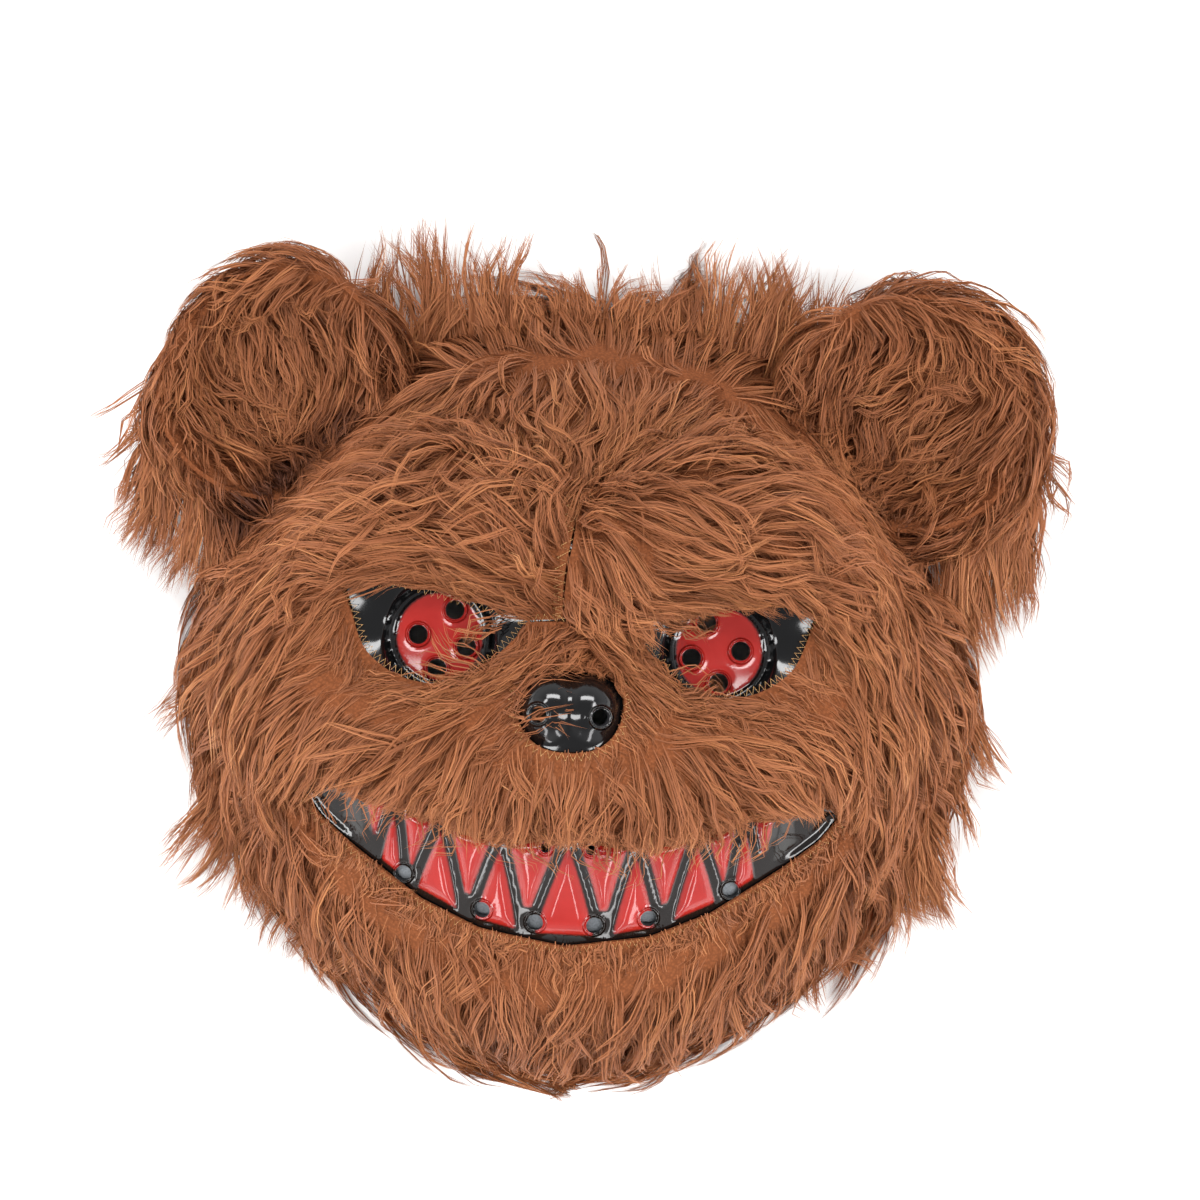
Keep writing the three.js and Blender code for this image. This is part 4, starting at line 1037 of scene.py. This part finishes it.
def strand_piece(name, paths, outs, tones, dice):
    """Flat ribbons, one to a strand, each with its own cell in the map for its colour"""
    count = len(paths)
    # Painted shade darkens the pile in the folds between the ears and the head
    tones = tones - painted_fold_shade(paths[:, :, 0], paths[:, :, 1])
    run = unit(np.gradient(paths, axis=1))
    roll = dice.normal(0, 0.6, count)[:, None, None]
    side = unit(np.cross(run, outs))
    side = side * np.cos(roll) + np.cross(run, side) * np.sin(roll)
    taper = np.interp(np.linspace(0, 1, strand_points), [0, 0.25, 0.7, 1], [0.8, 1, 0.75, 0.1])
    half = dice.uniform(*ribbon_mm, count)[:, None] * taper[None, :] / 2
    left, right = paths - side * half[:, :, None], paths + side * half[:, :, None]
    body = strand_points - 1
    points = np.concatenate([left[:, :body], right[:, :body], paths[:, body:]], 1)
    per = 2 * body + 1
    step = np.arange(body - 1)
    quads = np.stack([step, step + body, step + body + 1, step + 1], 1)
    base = (np.arange(count) * per)[:, None, None]
    quads = (base + quads[None]).reshape(-1, 4)
    tips = np.arange(count)[:, None] * per + np.array([body - 1, 2 * body - 1, 2 * body])
    points = points.reshape(-1, 3)
    points[:, 2] = np.maximum(points[:, 2], 0.15)
    piece = new_piece(name, points, [quads, tips], [acrylic])
    note(piece, "tone", np.concatenate([tones[:, :body], tones[:, :body], tones[:, body:]], 1))
    own = np.repeat(dice.uniform(0, 900, count)[:, None], per, 1)
    beside = np.repeat(np.concatenate([np.zeros(body), np.full(body, 2.6), [1.3]])[None, :], count, 0)
    note(piece, "fibre", own + beside)
    across = math.ceil(math.sqrt(count * 2.5))
    down = math.ceil(count / across)
    cell = np.arange(count)
    left_u = (cell % across + 0.15) / across
    right_u = (cell % across + 0.85) / across
    bottom, tall = (cell // across + 0.08) / down, 0.84 / down
    height = np.linspace(0, 1, strand_points)[None, :] * tall + bottom[:, None]
    u = np.concatenate([np.repeat(left_u[:, None], body, 1), np.repeat(right_u[:, None], body, 1),
                        ((left_u + right_u) / 2)[:, None]], 1)
    v = np.concatenate([height[:, :body], height[:, :body], height[:, body:]], 1)
    both = np.stack([u, v], -1).reshape(-1, 2)
    corners = np.concatenate([quads.ravel(), tips.ravel()])
    bake_map = piece.data.uv_layers.new(name="OFBake")
    bake_map.data.foreach_set("uv", both[corners].astype(np.float32).ravel())
    return piece


# Chestnut acrylic fibre with the soft gloss of an extruded fibre. Its tone carries painted
# shade, darker at the root and lighter and more golden at the tip.
acrylic, tree, shader = new_material("chestnut_acrylic_pile")
tone = add(tree, "Attribute", {}, attribute_name="tone")
fibre = add(tree, "Attribute", {}, attribute_name="fibre")
fibres = add(
    tree,
    "TexNoise",
    {"W": fibre.outputs["Fac"], "Scale": 1.0, "Detail": 1.0},
    noise_dimensions="1D",
)
split = add(
    tree,
    "MapRange",
    {"Value": fibres.outputs["Fac"], "From Min": 0.25, "From Max": 0.75, "To Min": -0.13, "To Max": 0.13},
)
shade = add(tree, "Math", {0: tone.outputs["Fac"], 1: split.outputs["Result"]}, operation="ADD")
browns = add(tree, "ValToRGB", {"Fac": shade.outputs["Value"]})
colours(browns, [(0.0, "#4a281a"), (0.25, "#744327"), (0.5, "#955a38"), (0.75, "#b07347"), (1.0, "#cf9c6e")])
tree.links.new(browns.outputs["Color"], shader.inputs["Base Color"])
shader.inputs["Roughness"].default_value = 0.6
shader.inputs["Specular IOR Level"].default_value = 0.22


def head_roots(spacing, dice):
    """Places spread evenly over the head, ring by ring from its middle to its rim"""
    outs = np.linspace(0.02, 1, 300)
    x, y = face_place(np.zeros(300), outs)
    meridian = np.stack([x, y, face_height(x, y)], 1)
    length = distance_along(meridian)
    places = []
    for ring in np.arange(spacing / 2, length[-1] - 1, spacing):
        turns = np.linspace(0, 2 * math.pi, 241)
        out = np.interp(ring, length, outs)
        x, y = face_place(turns, np.full(241, out))
        loop = np.stack([x, y, face_height(x, y)], 1)
        travelled = distance_along(loop)
        count = max(3, round(travelled[-1] / spacing))
        at = (np.arange(count) + dice.uniform(-0.4, 0.4, count)) / count * travelled[-1]
        turn = np.interp(at % travelled[-1], travelled, turns)
        jitter = np.interp(ring + dice.uniform(-0.4, 0.4, count) * spacing, length, outs)
        x, y = face_place(turn, jitter)
        places.append(np.stack([x, y, face_height(x, y)], 1))
    return np.concatenate(places)


def head_pile(roots):
    thick = plush_thickness(roots[:, 0], roots[:, 1])
    rim = ease(way_out(roots[:, 0], roots[:, 1]), 0.85, 0.98)
    by_ear = ease(np.hypot(np.abs(roots[:, 0]) - 95, roots[:, 1] - 73), 58, 44)
    return 0.36 * thick, (1.12 * thick + 5.5 * rim) * (1 - 0.6 * by_ear)


def head_length(roots):
    thick = plush_thickness(roots[:, 0], roots[:, 1])
    rim = ease(way_out(roots[:, 0], roots[:, 1]), 0.85, 1)
    return 19 + 9 * ease(thick, 3, 9) + (5 + 7 * (roots[:, 1] > 40)) * rim


dice = np.random.default_rng(4021)
big_locks, small_locks, edge_locks = (head_roots(spacing, dice) for spacing in (9.5, 3.05, 2.7))
for panel in panels:

    def of_panel(roots, slack):
        x, y = roots[:, 0], roots[:, 1]
        return roots[np.minimum(opening_margin(x, y), panel_margin(panel, x, y)) > slack]

    bigs, smalls = of_panel(big_locks, -1.0), of_panel(small_locks, 0.6)
    edges = of_panel(edge_locks, 0.3)
    edges = edges[np.minimum(opening_margin(*edges[:, :2].T), panel_margin(panel, *edges[:, :2].T)) < 7]
    outward = dice.uniform(0, 1, len(smalls)) < ease(way_out(smalls[:, 0], smalls[:, 1]), 0.84, 0.98)
    grown = [
        grow(dice, bigs, roots, on_face, head_flow(panel, strength), head_pile, head_strands, reach, trim=True)
        for roots, strength, reach in (
            (smalls[~outward], 0.7, head_length),
            (smalls[outward], 4.0, head_length),
            (edges, 0.7, all_alike(12)),
        )
        if len(roots)
    ]
    paths, outs, tones = together(grown)
    # The cheeks and the chin are brushed flat, so their pile stands out least
    out = way_out(paths[..., 0], paths[..., 1])
    jowl = ease(-paths[..., 1], 45, 70) * ease(np.abs(paths[..., 0]), 12, 35)
    limit = 1.14 + 0.05 * jowl
    kept = np.where(out > limit, limit + (0.4 + 0.3 * jowl) * (out - limit), out) / out
    kept = 1 - (1 - kept) * ease(paths[..., 1], 60, 30)
    paths[..., 0] *= kept
    paths[..., 1] = face_centre_y + (paths[..., 1] - face_centre_y) * kept
    if panel == "face_plush":
        left = paths[:, 0, 0] < 0
        for name, chosen in (("pile_face_left", left), ("pile_face_right", ~left)):
            strand_piece(name, paths[chosen], outs[chosen], tones[chosen], dice)
    else:
        strand_piece("pile_" + panel, paths, outs, tones, dice)


# The ears: round pads of the same plush, sewn from a front and a back and stuffed, with
# the front drawn in to a shallow cup. Each is glued to the side of the head.
ear_x, ear_y, ear_radius, ear_thickness, ear_rim_rise, ear_inset = 95.0, 73.0, 43.0, 17.0, 17.0, 5.5
ear_section = [(0, 0, 0), (0.72, 0, 0), (0.93, 0.35, 0), (1, 0.95, 0.1), (0.97, 1, 0.6), (0.84, 1, 1),
               (0.68, 1, 0.85), (0.42, 1, 0.2), (0, 1, 0)]
corners = [
    (out * ear_radius, thick * ear_thickness + rim * ear_rim_rise, 0)
    for out, thick, rim in ear_section
]
profile = smooth_line(corners, np.linspace(0, 1, 121))[:, :2]
run = unit(np.gradient(profile, axis=0))
profile_out = np.stack([run[:, 1], -run[:, 0]], 1)
profile = profile - ear_inset * profile_out
profile[:, 0] = np.maximum(profile[:, 0], 0)
profile[:, 1] = np.maximum(profile[:, 1], 1.5)
run = unit(np.gradient(profile, axis=0))
profile_out = np.stack([run[:, 1], -run[:, 0]], 1)
profile_run = distance_along(profile)


def ear_points(side, turn, at):
    radius, height = (np.interp(at, profile_run, profile[:, axis]) for axis in (0, 1))
    return np.stack([side * ear_x + side * radius * np.cos(turn), ear_y + radius * np.sin(turn), height], 1)


def on_ear(side):
    def surface(points):
        arm = points[:, :2] - [side * ear_x, ear_y]
        radius = np.maximum(np.hypot(*arm.T), 1e-6)
        apart = (radius[:, None] - profile[None, :, 0]) ** 2 + (points[:, 2:] - profile[None, :, 1]) ** 2
        spot = np.argmin(apart, 1)
        away = arm / radius[:, None]
        foot = np.column_stack([[side * ear_x, ear_y] + away * profile[spot, :1], profile[spot, 1]])
        out = np.column_stack([away * profile_out[spot, :1], profile_out[spot, 1]])
        return foot, out

    return surface


def folded_in(points, side):
    """The left ear's upper outer edge leans in a little further than its pattern"""
    arm = points[:, :2] - [side * ear_x, ear_y]
    share = 0.12 * ease(-arm[:, 0], -5, 22) * ease(arm[:, 1], -12, 12) * (side < 0)
    return np.column_stack([points[:, :2] - arm * share[:, None], points[:, 2]])


def clear_of_face(paths, side, gap):
    """The paths of an ear's pile, pushed out to a gap where they would sink into the head"""
    points = folded_in(paths.reshape(-1, 3), side)
    away, out = over_face(points)
    points = points + out * np.maximum(0, gap - away)[:, None]
    points[:, 2] = np.maximum(points[:, 2], 0.3)
    return points.reshape(paths.shape)


def ear_flow(side):
    def flow(foot, out):
        across = side * (foot[:, 0] - side * ear_x) / ear_radius
        up = (foot[:, 1] - ear_y) / ear_radius
        radius = np.hypot(across, up)
        rim = ease(radius, 0.45, 0.8)
        high, outer = ease(up, 0.1, 0.7), ease(across, 0.1, 0.7)
        inside = np.array([-side * 0.55, -0.85, 0.0])
        inner = ease(-across, 0.25, 0.8)[:, None]
        outer_way, inner_way = np.array([side * 0.85, -0.35, -0.2]), np.array([-side, -0.2, -0.2])
        over_top = outer_way * (1 - inner) + inner_way * inner
        down_side = np.array([side * 0.1, -1.0, -0.15])
        edge = down_side + (over_top - down_side) * high[:, None]
        way = inside + (edge - inside) * (rim * np.maximum(high, outer))[:, None]
        behind = ease(-out[:, 2], -0.2, 0.3)[:, None]
        return way + behind * np.array([side * 0.5, -0.3, 0.0])

    return flow


def ear_pile(roots):
    behind = roots[:, 2] < 4
    folded = ease(-roots[:, 0], 92, 125) * ease(roots[:, 1], 60, 95)
    return np.full(len(roots), 0.2), np.where(behind, 1.2, 8.0 - 5.0 * folded)


def ear_roots(side, spacing, dice):
    places = []
    for ring in np.arange(spacing / 2, profile_run[-1], spacing):
        radius = np.interp(ring, profile_run, profile[:, 0])
        count = max(3, round(2 * math.pi * radius / spacing))
        turn = (np.arange(count) + dice.uniform(-0.4, 0.4, count)) / count * 2 * math.pi
        at = np.clip(ring + dice.uniform(-0.4, 0.4, count) * spacing, 0, profile_run[-1])
        places.append(ear_points(side, turn, at))
    return np.concatenate(places)


ear_sides = 72
for side, name in ((-1, "ear_left"), (1, "ear_right")):
    turns, along = np.linspace(0, 2 * math.pi, ear_sides + 1)[:-1], profile_run[::2]
    ring_points = np.concatenate([ear_points(side, turns, np.full(ear_sides, at)) for at in along])
    ring_points = folded_in(ring_points, side)
    ring, step = np.arange(len(along) - 1)[:, None] * ear_sides, np.arange(ear_sides)[None, :]
    at, after = ring + step, ring + (step + 1) % ear_sides
    quads = np.stack([at, after, after + ear_sides, at + ear_sides], -1).reshape(-1, 4)[:, ::side]
    away, _ = over_face(ring_points[quads].mean(1))
    used, flat = np.unique(quads[away > 3.2], return_inverse=True)
    pad = new_piece("pad_" + name, ring_points[used], [flat.reshape(-1, 4)], [tricot])
    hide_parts(name)

    big_ear, small_ear = ear_roots(side, 9.5, dice), ear_roots(side, 3.2, dice)
    small_ear = small_ear[over_face(small_ear)[0] > 5]
    surface, flow = on_ear(side), ear_flow(side)
    paths, outs, tones = grow(
        dice, big_ear, small_ear, surface, flow, ear_pile, ear_strands, all_alike(25), wave=1.4
    )
    strand_piece("pile_" + name, clear_of_face(paths, side, 6), outs, tones, dice)


# The longest pile: it hangs from the ears' outer edges and the cheeks, and stands up
# along the crown. A row is a line of roots, the pile's way at its ends and its heights.
fringes = [
    (128, 76, 127, 56, 0.08, -1, 0.05, -1, 25, 22, 14, 50),
    (130, 62, 104, 36, 0.08, -1, 0.0, -1, 36, 21, 5, 210),
    (106, -4, 94, -52, 0.16, -1, 0.3, -1, 40, 15, 4, 190),
    (94, -50, 64, -84, 0.5, -1, 0.35, -1, 29, 10, 3, 90),
    (74, 70, 28, 85, 0.05, 1, 0.1, 1, 41, 13, 11, 150),
    (30, 85, 0, 87, 0.25, 1, 0.05, 1, 25, 13, 12, 70),
]
fuller_right, fringe_clumps, fringe_sink, fringe_depth = 2.0, 18, -3.0, 5.0


def fringe_pile(roots):
    return np.full(len(roots), fringe_sink), np.full(len(roots), fringe_depth)


for side, name in ((-1, "left"), (1, "right")):
    strands = []
    for x1, y1, x2, y2, across1, up1, across2, up2, reach, high, low, count in fringes:
        share = dice.uniform(0, 1, count)
        spread_out = dice.uniform(-6, 3, (count, 1)) * unit(np.array([y1 - y2, x2 - x1]))
        spots = np.column_stack([x1 + (x2 - x1) * share, y1 + (y2 - y1) * share]) - spread_out
        # The right cheek and ear are the fuller ones
        roots = np.column_stack([side * spots[:, 0] + fuller_right, spots[:, 1], np.full(count, float(high))])
        start = np.array([x1, y1])
        line = np.array([x2, y2]) - start

        def hung(points):
            away = np.abs((points[:, :2] * [side, 1] - start) @ unit(np.array([line[1], -line[0]])))
            height = high + (low - high) * np.clip(away / reach, 0, 1)
            tilt = unit(np.array([side * 0.3, 0.0, 1.0]))
            return np.column_stack([points[:, :2], height]), np.repeat(tilt[None, :], len(points), 0)

        def lie(foot, out):
            at = np.clip((foot[:, :2] * [side, 1] - start) @ line / (line @ line), 0, 1)
            across, up = across1 + (across2 - across1) * at, up1 + (up2 - up1) * at
            return np.column_stack([side * across, up, np.zeros(len(foot))])

        bigs = roots[:: max(1, count // fringe_clumps)]
        strands.append(
            grow(dice, bigs, roots, hung, lie, fringe_pile, ear_strands, all_alike(reach), wave=1.5)
        )
    paths, outs, tones = together(strands)
    strand_piece("hanging_pile_" + name, clear_of_face(paths, side, 5), outs, tones, dice)


# Stray wisps: loose acrylic fibres of the same pile that no brush has laid back. They lie
# on the moulded face, across the corners of the eyes, the nose and the teeth.
wisps = [
    (-24, -9, -29, -14, -1, 0.12, 22, 13), (-20, 10, -23, 2, -0.85, -0.5, 14, 9),
    (20, 5, 24, 11, 0.85, -0.55, 19, 12), (24, -8, 30, -14, 1, 0.05, 15, 8),
    (-18, -14, -18, -26, 1, 0.08, 20, 28), (-70, -43, -30, -52, -0.1, -1, 13, 16),
    (-30, -53, 30, -53, 0.05, -1, 13, 20), (30, -52, 66, -45, 0.2, -1, 13, 16),
    (-84, -50, -76, -60, 1, -0.1, 18, 6), (-64, -72, -54, -78, 1, 0.2, 18, 7),
    (66, -66, 76, -58, -0.8, 0.5, 12, 4),
]


def wisp_pile(roots):
    return np.full(len(roots), 2.5), np.full(len(roots), 7.0)


strands = []
for x1, y1, x2, y2, across, up, reach, count in wisps:
    share = dice.uniform(0, 1, count)
    x = x1 + (x2 - x1) * share + dice.normal(0, 1.0, count)
    y = y1 + (y2 - y1) * share + dice.normal(0, 1.0, count)
    roots = np.column_stack([x, y, face_height(x, y)])
    way = np.array([[across, up, 0.0]])

    def one_way(foot, out):
        return np.repeat(way, len(foot), 0)

    bigs = roots[::4]
    strands.append(
        grow(dice, bigs, roots, on_face, one_way, wisp_pile, wisp_strands, all_alike(reach), wave=1.6)
    )
paths, outs, tones = together(strands)
strand_piece("stray_wisps", paths, outs, tones, dice)


# Overlock stitching: golden polyester thread, 0.26 mm thick, that binds the cut edges of
# the openings and the inner edge of the left brow in a close zigzag.
def stitched(line, depth, pitch, out_side):
    """Thread zigzags from a cut edge to a line a little inside the panel"""
    travelled = distance_along(line)
    at = np.arange(0, travelled[-1], pitch)
    spots = np.stack([np.interp(at, travelled, line[:, axis]) for axis in (0, 1)], 1)
    run = unit(np.gradient(spots, axis=0))
    beside = np.stack([-run[:, 1], run[:, 0]], 1) * out_side
    inset = np.where(np.arange(len(at)) % 2 == 0, -0.1, depth)
    spots = spots + beside * inset[:, None]
    foot = np.column_stack([spots, face_height(*spots.T)])
    _, out = on_face(foot)
    high = 0.42 * plush_thickness(*spots.T) + np.where(inset > 0, 0.25, -0.15)
    return foot + out * high[:, None]


def closed(line):
    return np.concatenate([line, line[:1]])


thread_lines = [stitched(closed(outline), 2.1, 1.0, -1 if side > 0 else 1)
                for side, outline in zip((-1, 1), eye_outlines)]
thread_lines.append(stitched(closed(nose_outline), 2.0, 1.0, 1))
lip_x = np.linspace(-mouth_half_width, mouth_half_width, 120)
thread_lines.append(stitched(np.column_stack([lip_x, lip_y(lower_lip, lip_x)]), 2.1, 1.0, -1))
thread_lines.append(stitched(np.column_stack([lip_x, lip_y(upper_lip, lip_x)]), 2.1, 1.0, 1))
brow_edge = np.linspace(8, 42, 30)
thread_lines.append(stitched(np.column_stack([np.full(30, bridge_seam_x), brow_edge]), 3.0, 1.1, 1))
brow_foot = np.linspace(bridge_seam_x, -19, 16)
thread_lines.append(stitched(np.column_stack([brow_foot, face_seam(brow_foot)]), 2.2, 1.1, -1))

thread, tree, shader = new_material("golden_polyester_thread")
place = add(tree, "TexCoord", {})
ply = add(tree, "TexWave", {"Vector": place.outputs["Object"], "Scale": 500.0, "Distortion": 2.0})
golds = add(tree, "ValToRGB", {"Fac": ply.outputs["Fac"]})
colours(golds, [(0.2, "#b07f45"), (0.8, "#e2b478")])
twist = add(tree, "Bump", {"Height": ply.outputs["Fac"], "Strength": 0.4, "Distance": 0.0001})
tree.links.new(golds.outputs["Color"], shader.inputs["Base Color"])
tree.links.new(twist.outputs["Normal"], shader.inputs["Normal"])
shader.inputs["Roughness"].default_value = 0.55

thread_radius, thread_sides = 0.13, 4
points, faces, start = [], [], 0
for line in thread_lines:
    run = unit(np.gradient(line, axis=0))
    _, out = on_face(line)
    beside = unit(np.cross(run, out))
    rise = np.cross(beside, run)
    ring = [
        line + thread_radius * (beside * math.cos(turn) + rise * math.sin(turn))
        for turn in np.arange(thread_sides) * math.pi / 2
    ]
    points.append(np.stack(ring, 1).reshape(-1, 3))
    base = start + np.arange(len(line) - 1)[:, None] * thread_sides
    step = np.arange(thread_sides)[None, :]
    at, after = base + step, base + (step + 1) % thread_sides
    faces.append(np.stack([at, after, after + thread_sides, at + thread_sides], -1).reshape(-1, 4))
    start += thread_sides * len(line)
new_piece("overlock_stitching", np.concatenate(points), [np.concatenate(faces)], [thread])
